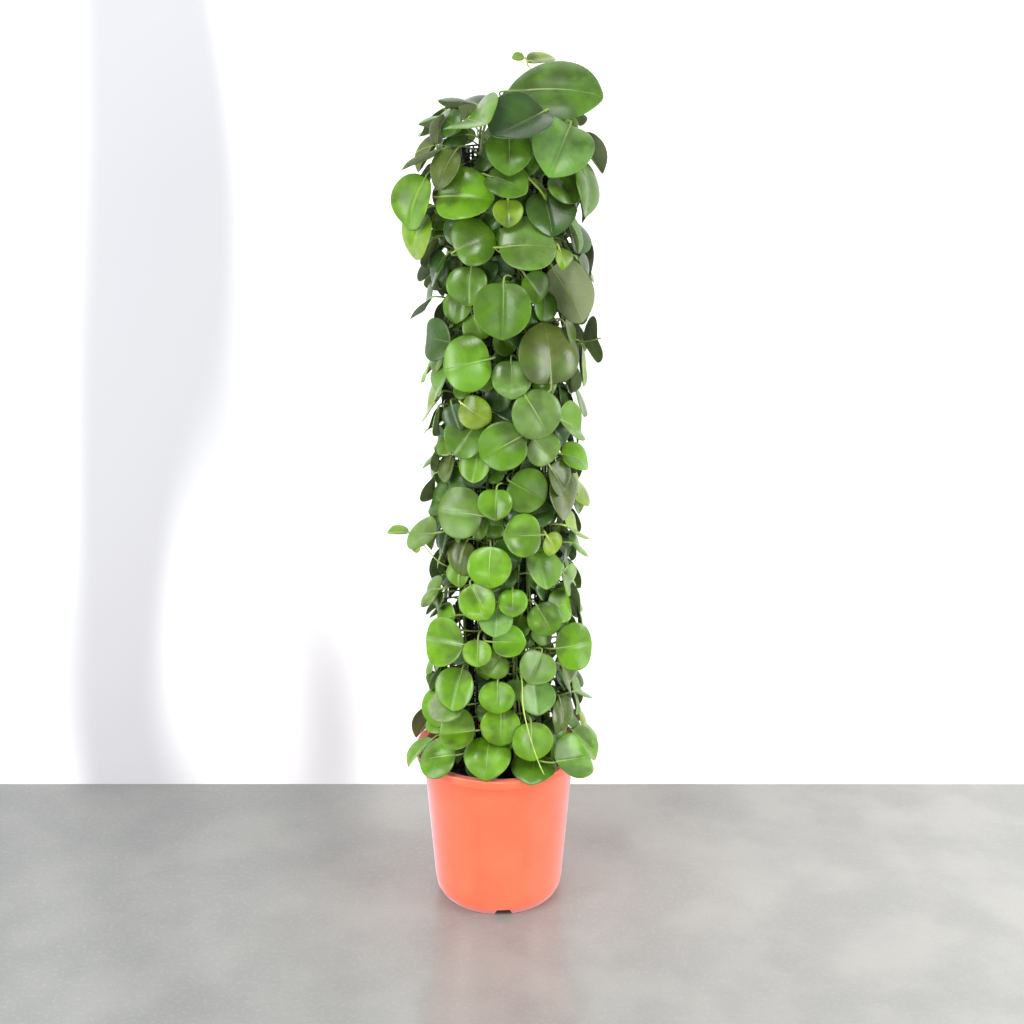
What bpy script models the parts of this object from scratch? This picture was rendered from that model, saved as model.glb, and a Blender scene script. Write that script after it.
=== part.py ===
"""Climbing cissus on a netting tube, in a 24 cm nursery pot.

Metres, +Z up. The origin is on the floor under the middle of the pot, and the front of the plant faces -Y.
"""
import itertools
import math
import random
from collections import namedtuple

import bmesh
import bpy
import numpy as np
from mathutils import Vector
from mathutils.bvhtree import BVHTree

MM = 0.001

# Pot: a 24 cm nursery pot with a rolled rim, a tapered wall and a notched foot.
POT_HEIGHT = 0.229
RIM_RADIUS = 0.120
RIM_DROP = 0.012
RIM_WIDTH = 0.0115
RIM_ROUNDING = 0.0025
RIM_TAPER = 0.001
WALL_TOP_RADIUS = 0.1083
WALL_FOOT_RADIUS = 0.0935
WALL_FOOT_HEIGHT = 0.026
WALL_THICKNESS = 0.0024
FOOT_RADIUS = 0.083
FOOT_RING_WIDTH = 0.009
FOOT_STEP_HEIGHT = 0.012
FOOT_STEP_DEPTH = 0.0025
FOOT_ROUNDING = 0.003
FLOOR_UNDERSIDE = 0.0125
FLOOR_TOP = 0.0150
INSIDE_CORNER = 0.010
POT_SIDES = 32
NOTCH_COUNT = 3
NOTCH_TURN = 4.7
NOTCH_BOTTOM_WIDTH = 0.028
NOTCH_TOP_WIDTH = 0.0186
NOTCH_HEIGHT = 0.0105
HOLE_COUNT = 4
HOLE_RADIUS = 0.007
HOLE_RING_RADIUS = 0.052
CUT_PAST = 0.002

# Soil: fills the pot to a little below the rim.
SOIL_TOP = 0.205
SOIL_MOUND = 0.006
SOIL_MOUND_RADIUS = 0.075
SOIL_EDGE_DROP = 0.002
SOIL_GROOVE_DEPTH = 0.030
VINE_HOLE_ROOM = 0.0012
TUBE_GROOVE_ROOM = 0.0006
GAP = 0.0003
WELD = 0.00002

# Netting tube: stands in a groove in the soil, a little right of the pot's middle.
TUBE_X = 0.0106
TUBE_RADIUS = 0.054
TUBE_TOP = 1.070
TUBE_SIDES = 12
TUBE_ROWS = 6
STRAND = 0.0030

# Vines: climb close outside the tube.
VINE_COUNT = 9
FIRST_VINE = 12.0
VINE_RADIUS = 0.0024
VINE_RING_RADIUS = 0.0605
VINE_STEPS = 13
VINE_TOPS = (1.122, 1.112, 1.120, 1.104, 1.118, 1.108, 1.116, 1.098, 1.106)
VINE_SWAY = 5.0
VINE_SWAYS_PER_METRE = 9.0
VINE_SWAY_OFFSET = 1.9
VINE_SWAY_FROM = 0.30
VINE_WAVE = 0.0012
VINE_WAVES_PER_METRE = 13.0
VINE_LEAN_IN = 0.35
SHOOT_RADIUS = 0.0011

# Leaves: thick round blades on slim stalks.
BLADE_THICKNESS = 0.0012
STALK_WIDTH = 0.0028
STALK_ROOT_WIDTH = 0.0022
STALK_LEAD = 0.42
TIP_POINT = 0.09
TIP_WIDTH = 0.20
NOTCH_WIDTH = 0.5
BROAD_FROM = 90
BROAD_LEAF_FORM = (0.08, -0.04, 0.10, 1.2, -0.22)
BLADE_SCALE = 1.04
SMALL_WIDTH = 0.038
LARGE_WIDTH = 0.067
STRAIGHT_STALK_OUT = 0.100
SHOOT_LEAF_FORM = (0.2, 0.04, 0.05, 1.0, 0.06)
USUAL_DROP = 0.008
TOPMOST = 1.090

# How a leaf is bent clear: small changes of its height and distance out (mm), its nod and facing (degrees),
# its width (share) and how far below its base its stalk starts (mm).
CLEARANCE = 0.0007
UPS = (0, 5, -5)
OUTS = (0, 4, -4, 8, -8, 13, -13)
NODS = (0, 8, -8, 16, -16)
FACES = (0, 12, -12, 24, -24)
WIDTHS = (1.0, 0.92, 0.84)
DROPS = (8, 20, -6)
WAYS_TRIED = 3000

# Filling leaves: cover what the front view doesn't show, widest gap first.
FILLING_LEAVES = 120
LOWEST_FILLING = 0.242
HIGHEST_FILLING = 1.115
LOW_RING = 0.030
CROWN_HEIGHT = 1.055
COLUMN_RADIUS = 0.096
TOP_FLARE = 0.011
TOP_FLARE_FROM = 0.85
TOP_FLARE_OVER = 0.20
FOOT_FLARE = 0.012
FOOT_FLARE_FROM = 0.38
FOOT_FLARE_OVER = 0.14
SMALL_GAP = 0.014
SPOT_SIZE = 0.010
SPOT_TURN = 6.0
UNROLL_RADIUS = 0.100
SEED = 24

# A leaf: where its blade's middle is (height, azimuth, out), its width, how it lies (face, nod, clock), its
# form (fold, cup, curl, length, notch at its base), and how far below its base its stalk leaves the vine.
Leaf = namedtuple("Leaf", "height azimuth out wide face nod clock fold cup curl long notch drop")
Placed = namedtuple("Placed", "leaf vine root tree middle reach")

# The leaves of the front, read from the front view. Each row: height of the blade's middle, its distance
# to the right of the tube's axis and its distance out from that axis, the blade's width (all in mm), the
# compass turn that the blade faces (0 to the front, 90 to the right), how far it is tipped to face up, and
# where its tip points as on a clock.
FRONT_LEAVES = (
    (1142, 64, 68, 92, 6, 40, 3), (1128, -50, 56, 70, -60, 84, 9),
    (1101, -30, 92, 78, -58, 62, 3), (1094, -84, 99, 38, -120, 6, 12), (1063, -97, 113, 60, -90, 58, 6),
    (1050, -67, 103, 54, -48, 15, 6.5), (1108, 18, 98, 80, -2, 50, 8), (1071, 6, 100, 58, 0, 34, 6),
    (1076, 70, 112, 78, 18, 36, 7), (1026, 104, 122, 74, 68, 12, 6), (1016, -53, 106, 72, -15, 28, 3),
    (1008, -106, 119, 78, -76, 8, 6.5), (966, -112, 124, 68, -48, 12, 6.5), (1030, 1, 86, 58, 5, 56, 4),
    (922, -86, 100, 54, -66, 18, 7), (961, -41, 106, 64, -12, 22, 2), (997, 4, 102, 38, 0, 30, 6),
    (958, 27, 113, 80, 8, 38, 3), (994, 54, 100, 66, 22, 35, 6), (965, 90, 105, 50, 76, 20, 6),
    (1026, 40, 90, 38, 78, 42, 6), (1028, 66, 96, 52, 30, 22, 5), (906, -45, 97, 56, -22, 18, 6),
    (918, 4, 90, 48, 3, 18, 6), (880, -2, 115, 72, -4, 14, 6), (877, -62, 93, 46, -35, 18, 6),
    (902, 36, 90, 46, 35, 15, 5), (897, 80, 113, 82, 140, 25, 7.2), (916, 98, 113, 54, 82, 10, 5),
    (940, 72, 118, 30, 45, 20, 6), (818, 57, 116, 86, 24, 12, 12), (808, -47, 111, 74, -14, 16, 8.5),
    (832, -86, 107, 56, -48, 10, 9), (838, 90, 107, 58, 80, 12, 5), (791, 8, 99, 52, 4, 22, 6),
    (780, 88, 99, 40, 120, 5, 6), (770, -84, 97, 50, -98, 5, 7),
    (744, -40, 105, 44, -18, 8, 4), (744, 38, 109, 66, 15, 14, 5), (720, -90, 100, 46, -92, 5, 6.5),
    (722, 82, 108, 56, 62, 25, 4), (707, -54, 101, 60, -25, 22, 7), (702, -2, 109, 64, -5, 14, 8),
    (668, -92, 100, 38, -104, 0, 7), (658, -76, 94, 38, -58, 20, 6), (670, -38, 93, 48, -15, 20, 6),
    (674, 92, 110, 48, 40, 48, 4), (655, 68, 103, 56, 42, 15, 5), (608, -57, 111, 70, -26, 16, 9),
    (625, -12, 106, 46, -6, 26, 6), (637, 29, 99, 62, 14, 18, 4), (624, 76, 104, 66, 54, 10, 5),
    (581, 24, 112, 58, 8, 20, 9), (560, 62, 101, 34, 40, 8, 5), (572, 90, 103, 50, 80, 30, 4),
    (548, 98, 108, 44, 82, 35, 4), (538, -21, 110, 60, -8, 20, 6), (544, -60, 97, 50, -38, 18, 6),
    (514, -66, 95, 40, -42, 20, 6), (556, -82, 98, 34, -68, 15, 6), (566, -110, 124, 54, -52, 42, 8.3),
    (482, -104, 113, 52, -70, 38, 8), (470, -90, 99, 38, -88, 10, 7), (444, -84, 101, 44, -58, 32, 8),
    (485, -36, 103, 52, -16, 18, 5), (487, 10, 105, 40, 2, 24, 6), (527, 49, 101, 52, 25, 38, 6),
    (504, 84, 106, 46, 66, 5, 4.5), (470, 75, 105, 48, 44, 25, 3), (458, 49, 99, 48, 28, 12, 5),
    (420, -80, 112, 68, -24, 18, 9), (410, 92, 116, 66, 20, 16, 3), (456, -12, 97, 46, -6, 28, 6),
    (429, 4, 103, 46, 0, 32, 3), (411, -36, 99, 40, -18, 20, 6), (391, 42, 107, 52, 20, 28, 7),
    (387, -15, 94, 44, -8, 15, 7), (360, 86, 106, 54, 66, 5, 5), (356, -92, 102, 46, -98, 10, 7),
    (352, -66, 105, 62, -32, 12, 6), (349, -11, 104, 50, -5, 20, 6), (347, 42, 99, 52, 22, 28, 6),
    (304, -7, 108, 55, -2, 20, 6), (290, -64, 112, 62, -20, 48, 8.5), (263, -25, 108, 66, -6, 50, 6),
    (284, 36, 110, 58, 14, 14, 6), (252, -94, 130, 62, -36, 40, 8.2), (250, 92, 131, 68, 34, 50, 3.2),
    (246, 36, 94, 64, 15, 58, 6), (306, 80, 104, 60, 60, 8, 6), (320, -80, 108, 60, -30, 56, 8.5),
    (280, 70, 96, 48, 46, 25, 6), (226, -27, 80, 54, -10, 62, 6),
)

# Slim young shoots that stand clear of the leaves: the vine that each grows from, and its route as height,
# distance to the right of the tube's axis and distance in front of it, all in mm.
SHOOTS = (
    (0, ((385, 19, 62), (372, 22, 92), (340, 24, 116), (300, 33, 123), (262, 45, 125), (244, 53, 127))),
    (7, ((498, -64, 30), (520, -88, 42), (538, -106, 40), (552, -120, 32), (558, -132, 24))),
    (2, ((1114, 60, -2), (1140, 50, -22), (1160, 38, -27), (1169, 30, -26), (1178, 27, -24))),
)

# The young leaves on the shoots: the shoot and the point of its route that each grows from, then the height
# of the blade's middle, its distance to the right of the tube's axis and its distance in front of it, its
# width, and how it faces, is tipped and points, as above.
SHOOT_LEAVES = (
    (1, 4, 557, -147, 20, 30, -25, 86, 8.5),
    (1, 3, 540, -121, 36, 14, -30, 10, 6),
    (2, 3, 1178, 46, -34, 38, 4, 66, 2.3),
    (2, 4, 1180, 17, -25, 16, 0, 50, 9),
)


def remove_everything():
    for old in list(bpy.data.objects):
        bpy.data.objects.remove(old, do_unlink=True)


def collection(name):
    group = bpy.data.collections.new(name)
    bpy.context.scene.collection.children.link(group)
    return group


def material(name, colour, roughness):
    made = bpy.data.materials.new(name)
    made.use_nodes = True
    shader = made.node_tree.nodes["Principled BSDF"]
    shader.inputs["Base Color"].default_value = (*colour, 1.0)
    shader.inputs["Roughness"].default_value = roughness
    made.diffuse_color = (*colour, 1.0)
    return made


def add_object(name, mesh, group, finish=None):
    made = bpy.data.objects.new(name, mesh)
    group.objects.link(made)
    if finish:
        mesh.materials.append(finish)
    return made


def turned(name, profile, sides, group, finish=None):
    """A profile of (radius, height) points turned about Z."""
    mesh = bpy.data.meshes.new(name)
    edges = [(i, i + 1) for i in range(len(profile) - 1)]
    mesh.from_pydata([(radius, 0.0, height) for radius, height in profile], edges, [])
    made = add_object(name, mesh, group, finish)
    screw = made.modifiers.new("Turn", "SCREW")
    screw.steps = sides
    screw.render_steps = sides
    screw.use_merge_vertices = True
    screw.merge_threshold = WELD
    screw.use_smooth_shade = False
    return made


def closed_ring(points):
    return points + points[:1]


def cut(target, cutters):
    knife = target.modifiers.new("Cut", "BOOLEAN")
    knife.operation = "DIFFERENCE"
    knife.operand_type = "COLLECTION"
    knife.collection = cutters
    knife.solver = "EXACT"


def hide_cutters(group):
    for cutter in group.objects:
        cutter.hide_render = True
        cutter.display_type = "WIRE"


def inside_radius(height):
    """Radius of the pot's inside wall at a height."""
    low = FLOOR_TOP + INSIDE_CORNER
    high = POT_HEIGHT - RIM_DROP
    low_radius = WALL_FOOT_RADIUS - WALL_THICKNESS
    high_radius = RIM_RADIUS - RIM_WIDTH - RIM_TAPER
    return low_radius + (height - low) / (high - low) * (high_radius - low_radius)


def make_pot(group):
    """The pot's wall, rim, floor and foot as one turned profile, cut by its notches and drain holes."""
    lip = RIM_RADIUS - RIM_WIDTH
    rim_bottom = POT_HEIGHT - RIM_DROP
    corner = FLOOR_TOP + INSIDE_CORNER
    ring_inner = FOOT_RADIUS - FOOT_RING_WIDTH
    profile = [
        (0.0, FLOOR_TOP),
        (FOOT_RADIUS, FLOOR_TOP),
        (inside_radius(corner), corner),
        (inside_radius(rim_bottom), rim_bottom),
        (lip, POT_HEIGHT - RIM_ROUNDING),
        (lip + RIM_ROUNDING, POT_HEIGHT),
        (RIM_RADIUS - RIM_ROUNDING, POT_HEIGHT),
        (RIM_RADIUS, POT_HEIGHT - RIM_ROUNDING),
        (RIM_RADIUS - RIM_TAPER, rim_bottom),
        (WALL_TOP_RADIUS, rim_bottom),
        (WALL_FOOT_RADIUS, WALL_FOOT_HEIGHT),
        (WALL_FOOT_RADIUS - FOOT_STEP_DEPTH, FOOT_STEP_HEIGHT),
        (FOOT_RADIUS + FOOT_ROUNDING, FOOT_ROUNDING),
        (FOOT_RADIUS, 0.0),
        (ring_inner, 0.0),
        (ring_inner, FLOOR_UNDERSIDE),
        (0.0, FLOOR_UNDERSIDE),
    ]
    pot = turned("pot", profile, POT_SIDES, group, material("terracotta plastic", (1.0, 0.25, 0.12), 0.4))
    cutters = collection("pot_cutters")
    for index in range(NOTCH_COUNT):
        notch_cutter(cutters, index)
    for index in range(HOLE_COUNT):
        hole_cutter(cutters, index)
    hide_cutters(cutters)
    cut(pot, cutters)
    return pot


def notch_cutter(group, index):
    """A wedge, wider at the floor, through the foot ring."""
    bpy.ops.mesh.primitive_cube_add(size=1.0)
    wedge = bpy.context.object
    depth = 2.4 * FOOT_RING_WIDTH
    for corner in wedge.data.vertices:
        top = corner.co.z > 0.0
        width = NOTCH_TOP_WIDTH if top else NOTCH_BOTTOM_WIDTH
        corner.co = (corner.co.x * width, corner.co.y * depth, NOTCH_HEIGHT if top else -CUT_PAST)
    turn = math.radians(NOTCH_TURN + 360.0 / NOTCH_COUNT * index)
    middle = FOOT_RADIUS - FOOT_RING_WIDTH / 3
    wedge.location = (middle * math.sin(turn), -middle * math.cos(turn), 0.0)
    wedge.rotation_euler = (0.0, 0.0, turn)
    move_to(wedge, group, f"notch_cutter_{index + 1}")


def hole_cutter(group, index):
    """A drain hole through the pot's floor."""
    turn = math.radians(360.0 / HOLE_COUNT * (index + 0.5))
    middle = (FLOOR_TOP + FLOOR_UNDERSIDE) / 2
    bpy.ops.mesh.primitive_cylinder_add(
        vertices=8, radius=HOLE_RADIUS, depth=FLOOR_TOP - FLOOR_UNDERSIDE + 2 * CUT_PAST,
        location=(HOLE_RING_RADIUS * math.sin(turn), -HOLE_RING_RADIUS * math.cos(turn), middle))
    move_to(bpy.context.object, group, f"hole_cutter_{index + 1}")


def move_to(made, group, name):
    for holder in list(made.users_collection):
        holder.objects.unlink(made)
    group.objects.link(made)
    made.name = name


def make_soil(group, vines):
    """The filled inside of the pot, with a groove for the tube and a plain hole for each vine."""
    gap = 2 * GAP
    low = FLOOR_TOP + GAP
    corner = FLOOR_TOP + INSIDE_CORNER
    edge = SOIL_TOP - SOIL_EDGE_DROP
    profile = [
        (0.0, SOIL_TOP + SOIL_MOUND),
        (SOIL_MOUND_RADIUS, SOIL_TOP + SOIL_MOUND / 2),
        (inside_radius(edge) - gap, edge),
        (inside_radius(corner) - gap, corner),
        (FOOT_RADIUS - gap, low),
        (0.0, low),
    ]
    soil = turned("soil", profile, POT_SIDES, group, material("potting soil", (0.035, 0.022, 0.014), 0.95))
    cutters = collection("soil_cutters")
    groove_cutter(cutters)
    for index, route in enumerate(vines):
        bpy.ops.mesh.primitive_cylinder_add(
            vertices=6, radius=VINE_RADIUS + VINE_HOLE_ROOM, depth=2 * SOIL_GROOVE_DEPTH,
            location=(route[0].x, route[0].y, SOIL_TOP))
        move_to(bpy.context.object, cutters, f"vine_hole_cutter_{index + 1}")
    hide_cutters(cutters)
    cut(soil, cutters)
    return soil


def groove_cutter(group):
    """A ring round the foot of the netting tube."""
    half = STRAND / 2 + TUBE_GROOVE_ROOM
    top = SOIL_TOP + 2 * SOIL_MOUND
    bottom = SOIL_TOP - SOIL_GROOVE_DEPTH
    flat = math.cos(math.pi / TUBE_SIDES)
    profile = closed_ring([
        (TUBE_RADIUS - half / flat, bottom),
        (TUBE_RADIUS - half / flat, top),
        (TUBE_RADIUS + half / flat, top),
        (TUBE_RADIUS + half / flat, bottom),
    ])
    groove = turned("groove_cutter", profile, TUBE_SIDES, group)
    groove.location.x = TUBE_X
    return groove


def make_tube(group):
    """Netting bent to a tube: the edges of a turned grid, thickened to strands."""
    bottom = SOIL_TOP - SOIL_GROOVE_DEPTH + STRAND
    rise = (TUBE_TOP - bottom) / TUBE_ROWS
    profile = [(TUBE_RADIUS, TUBE_TOP - rise * row) for row in range(TUBE_ROWS + 1)]
    finish = material("black netting", (0.01, 0.01, 0.01), 0.6)
    tube = turned("netting_tube", profile, TUBE_SIDES, group, finish)
    tube.location.x = TUBE_X
    wire = tube.modifiers.new("Strands", "WIREFRAME")
    wire.thickness = STRAND
    wire.use_even_offset = False
    wire.use_boundary = True
    wire.use_replace = True
    return tube


def vine_route(index):
    """Points up one vine: out of its soil hole, up close to the tube, then over towards its middle."""
    start = SOIL_TOP - 0.75 * SOIL_GROOVE_DEPTH
    bend = TUBE_TOP + 2 * VINE_RADIUS
    heights = [start + (bend - start) * step / VINE_STEPS for step in range(VINE_STEPS + 1)]
    points = []
    for height in heights + [VINE_TOPS[index]]:
        sway = VINE_SWAY * math.sin(VINE_SWAYS_PER_METRE * height + VINE_SWAY_OFFSET * index)
        sway *= min(1.0, (height - start) / VINE_SWAY_FROM)
        azimuth = math.radians(FIRST_VINE + 360.0 / VINE_COUNT * index + sway)
        ring = VINE_RING_RADIUS + VINE_WAVE * math.sin(VINE_WAVES_PER_METRE * height + index)
        ring -= VINE_LEAN_IN * max(0.0, height - bend)
        points.append(Vector((TUBE_X + ring * math.sin(azimuth), -ring * math.cos(azimuth), height)))
    return points


def on_route(route, height):
    """The point of a rising route at a height, a little below its end at most."""
    height = min(max(height, route[1].z), route[-1].z - VINE_RADIUS)
    for low, high in zip(route, route[1:]):
        if low.z <= height <= high.z:
            return low.lerp(high, (height - low.z) / (high.z - low.z))
    return route[-1]


def shoot_leaf(row):
    """A leaf on a shoot, with its vine and its root. It stays as it is, and the others bend clear of it."""
    shoot, knot, height, right, front, wide, *lie = row
    azimuth = math.degrees(math.atan2(right, front))
    out = MM * math.hypot(right, front)
    leaf = Leaf(MM * height, azimuth, out, MM * wide, *lie, *SHOOT_LEAF_FORM, USUAL_DROP)
    return grown(leaf, SHOOTS[shoot][0], shoot_route(shoot)[knot])


def shoot_route(index):
    """A shoot's points, the first of them on its vine."""
    vine, rows = SHOOTS[index]
    points = [Vector((TUBE_X + MM * right, -MM * front, MM * height)) for height, right, front in rows]
    points[0] = on_route(vine_route(vine), points[0].z)
    return points


def flat_leaf(corners, steps):
    """A flat leaf: a fan-capped circle, thickened, with the wall at its base drawn out in steps into a
    stalk. Returns each corner's place on the leaf, and the triangles."""
    flat = bmesh.new()
    bmesh.ops.create_circle(flat, cap_ends=True, cap_tris=True, segments=corners, radius=1.0)
    bmesh.ops.solidify(flat, geom=flat.faces[:], thickness=0.1)
    base = min(flat.faces, key=lambda face: face.calc_center_median().y)
    for _ in range(steps):
        base = bmesh.ops.extrude_discrete_faces(flat, faces=[base])["faces"][0]
        bmesh.ops.translate(flat, verts=base.verts, vec=(0.0, -1.0, 0.0))
    bmesh.ops.triangulate(flat, faces=flat.faces)
    places = [leaf_place(corner.co, corners) for corner in flat.verts]
    triangles = [tuple(corner.index for corner in face.verts) for face in flat.faces]
    flat.free()
    return places, triangles


def leaf_place(point, corners):
    """Where a corner of the flat leaf lies: its step down the stalk, then how far round and out it is on
    the blade or its side of the stalk, then the upper or lower face."""
    face = 1.0 if point.z > -0.05 else -1.0
    step = round(-0.9 - point.y)
    if step > 0:
        return step, math.copysign(1.0, point.x), 0.0, face
    if math.hypot(point.x, point.y) < 0.5:
        return 0, 0.0, 0.0, face
    around = math.atan2(point.x, point.y) / (math.pi - math.pi / corners)
    return 0, around, 1.0, face


def outline(leaf, around):
    """A point of the blade's outline, across and along, at a share of the way from its tip to its base."""
    angle = math.pi * around
    swell = 1.0 + TIP_POINT * math.exp(-(angle / TIP_WIDTH) ** 2)
    swell -= leaf.notch * math.exp(-((math.pi - abs(angle)) / NOTCH_WIDTH) ** 2)
    radius = BLADE_SCALE * leaf.wide / 2 * swell
    return radius * math.sin(angle), leaf.long * radius * math.cos(angle)


def rise(leaf, across, along):
    """How far the blade stands out of its plane: folded along the midrib, cupped, and curled at the tip."""
    bend = leaf.cup * (across ** 2 + along ** 2) - leaf.curl * max(0.0, along) ** 2
    return leaf.fold * abs(across) + 2.0 * bend / leaf.wide


def blade_frame(leaf):
    """The blade's middle, and the directions across it, to its tip and out of its upper face."""
    azimuth = math.radians(leaf.azimuth)
    face = math.radians(leaf.face)
    nod = math.radians(leaf.nod)
    clock = math.radians(30.0 * leaf.clock)
    middle = Vector((TUBE_X + leaf.out * math.sin(azimuth), -leaf.out * math.cos(azimuth), leaf.height))
    normal = Vector((math.sin(face) * math.cos(nod), -math.cos(face) * math.cos(nod), math.sin(nod)))
    level = Vector((math.cos(face), math.sin(face), 0.0))
    tip = normal.cross(level) * math.cos(clock) + level * math.sin(clock)
    return middle, tip.cross(normal), tip, normal


def stalk_base(leaf):
    middle, _, tip, normal = blade_frame(leaf)
    along = outline(leaf, 1.0)[1]
    return middle + tip * along + normal * rise(leaf, 0.0, along)


def shape_leaf(leaf, root, places, grow=0.0):
    """The corners of a leaf that grows from a root point, each face set out by grow."""
    middle, side, tip, normal = blade_frame(leaf)
    base = stalk_base(leaf)
    reach = (root - base).length
    lead = base - tip * (STALK_LEAD * reach)
    rings = [stalk_ring(root, root - lead, side, normal, tip)]
    if max(step for step, *_ in places) == 2:
        rings.insert(0, stalk_ring(base * 0.25 + lead * 0.5 + root * 0.25, root - base, side, normal, tip))
    half = BLADE_THICKNESS / 2 + grow
    corners = []
    for step, around, out, face in places:
        if step:
            centre, wide, thick = rings[step - 1]
            width = STALK_ROOT_WIDTH / 2 + grow
            corners.append(centre + wide * (around * width) + thick * (face * width))
            continue
        across, along = outline(leaf, around) if out else (0.0, 0.0)
        height = rise(leaf, across, along)
        if out and abs(around) > 0.99:
            across = math.copysign(STALK_WIDTH / 2 + grow, around)
        corners.append(middle + side * across + tip * along + normal * (height + face * half))
    return corners


def stalk_ring(centre, heading, side, normal, tip):
    """A stalk's section: its centre, and the leaf's own directions turned to its heading."""
    turn = (-tip).rotation_difference(heading)
    return centre, turn @ side, turn @ normal


def nearest_root(leaf, vines):
    """The vine that a leaf grows from, and the point on it."""
    base = stalk_base(leaf)
    choices = []
    for index, route in enumerate(vines):
        root = on_route(route, base.z - leaf.drop)
        choices.append(((root - base).length, index, root))
    _, index, root = min(choices, key=lambda choice: choice[:2])
    return index, root


def ways_to_bend():
    """Small changes that bend a leaf clear of its neighbours, the least first."""
    changes = []
    for up, out, nod, face, width, drop in itertools.product(UPS, OUTS, NODS, FACES, WIDTHS, DROPS):
        cost = abs(up) / 4 + abs(out) / 5 + abs(nod) / 8 + abs(face) / 12
        cost += (1.0 - width) * 18 + abs(drop - DROPS[0]) / 20
        changes.append((cost, up, out, nod, face, width, drop))
    return sorted(changes)[:WAYS_TRIED]


def crosses_itself(tree, triangles):
    for one, other in tree.overlap(tree):
        if one < other and not set(triangles[one]) & set(triangles[other]):
            return True
    return False


def place_leaf(leaf, vines, walls, stems, placed):
    """Bends a leaf until it is clear of all that is there. Returns None if nothing helps."""
    places, triangles = flat_shape(leaf)
    here = blade_frame(leaf)[0]
    near = [other for other in placed if (other.middle - here).length < other.reach + 2 * leaf.wide]
    for _, up, out, nod, face, width, drop in WAYS:
        trial = leaf._replace(height=leaf.height + MM * up, out=leaf.out + MM * out, nod=leaf.nod + nod,
                              face=leaf.face + face, wide=leaf.wide * width, drop=MM * drop)
        vine, root = nearest_root(trial, vines)
        tree = BVHTree.FromPolygons(shape_leaf(trial, root, places, CLEARANCE), triangles)
        if any(tree.overlap(wall) for wall in walls):
            continue
        if any(tree.overlap(stem) for index, stem in enumerate(stems) if index != vine):
            continue
        if any(tree.overlap(other.tree) for other in near):
            continue
        if crosses_itself(tree, triangles):
            continue
        return grown(trial, vine, root)
    return None


def grown(leaf, vine, root):
    """A leaf at its final place."""
    places, triangles = flat_shape(leaf)
    corners = shape_leaf(leaf, root, places)
    middle = blade_frame(leaf)[0]
    reach = max((corner - middle).length for corner in corners)
    return Placed(leaf, vine, root, BVHTree.FromPolygons(corners, triangles), middle, reach)


def flat_shape(leaf):
    """The flat leaf that suits a leaf: more corners on a wide blade, and a bent stalk on a far one."""
    corners = 7 if leaf.wide < SMALL_WIDTH else 9 if leaf.wide < LARGE_WIDTH else 11
    return FLAT_LEAVES[corners, 1 if leaf.out < STRAIGHT_STALK_OUT else 2]


def form(draw):
    """Fold, cup, curl, length and notch of one leaf."""
    fold = draw.uniform(0.12, 0.40)
    cup = draw.uniform(-0.16, 0.12)
    curl = draw.uniform(0.0, 0.22)
    return fold, cup, curl, draw.uniform(0.86, 1.04), draw.uniform(0.04, 0.15)


def front_leaves(draw):
    """The leaves read from the front view, in the order in which they are placed."""
    leaves = []
    for height, right, out, wide, *lie in FRONT_LEAVES:
        azimuth = math.degrees(math.asin(right / out))
        drawn = form(draw)
        shape = BROAD_LEAF_FORM if wide > BROAD_FROM else drawn
        leaves.append(Leaf(MM * height, azimuth, MM * out, MM * wide, *lie, *shape, USUAL_DROP))
    return sorted(leaves, key=turn_to_grow)


def turn_to_grow(leaf):
    """The topmost leaves come first, the widest before the others, and then the rest from the outside in."""
    if leaf.height > TOPMOST:
        return 0, -leaf.wide
    return 1, -leaf.out


class Gaps:
    """The column's surface laid out flat in small spots, with how far each is from the nearest blade."""

    def __init__(self):
        around = np.arange(-180.0, 180.0, SPOT_TURN)
        up = np.arange(LOWEST_FILLING, HIGHEST_FILLING, SPOT_SIZE)
        self.azimuth, self.height = (spots.ravel() for spots in np.meshgrid(around, up))
        self.clear = np.full(self.azimuth.shape, 1.0)

    def distance(self, azimuth, height):
        turn = np.abs((self.azimuth - azimuth + 180.0) % 360.0 - 180.0)
        across = turn * (math.pi / 180.0 * UNROLL_RADIUS)
        return np.sqrt(across * across + (self.height - height) * (self.height - height))

    def cover(self, leaf):
        """Counts a leaf's blade as there."""
        distance = self.distance(leaf.azimuth, leaf.height) - leaf.wide / 2
        self.clear = np.minimum(self.clear, distance)

    def block(self, azimuth, height):
        """Gives up on the spots round a place where no leaf fits."""
        self.clear[self.distance(azimuth, height) < 1.3 * SPOT_SIZE] = -SPOT_SIZE

    def widest(self):
        spot = int(np.argmax(self.clear))
        return float(self.azimuth[spot]), float(self.height[spot]), float(self.clear[spot])


def column_radius(height):
    """How far out the outer leaves hang: the column is slimmest in the middle."""
    above = max(0.0, height - TOP_FLARE_FROM) / TOP_FLARE_OVER
    below = max(0.0, FOOT_FLARE_FROM - height) / FOOT_FLARE_OVER
    return COLUMN_RADIUS + TOP_FLARE * min(1.0, above) + FOOT_FLARE * min(1.0, below)


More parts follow.
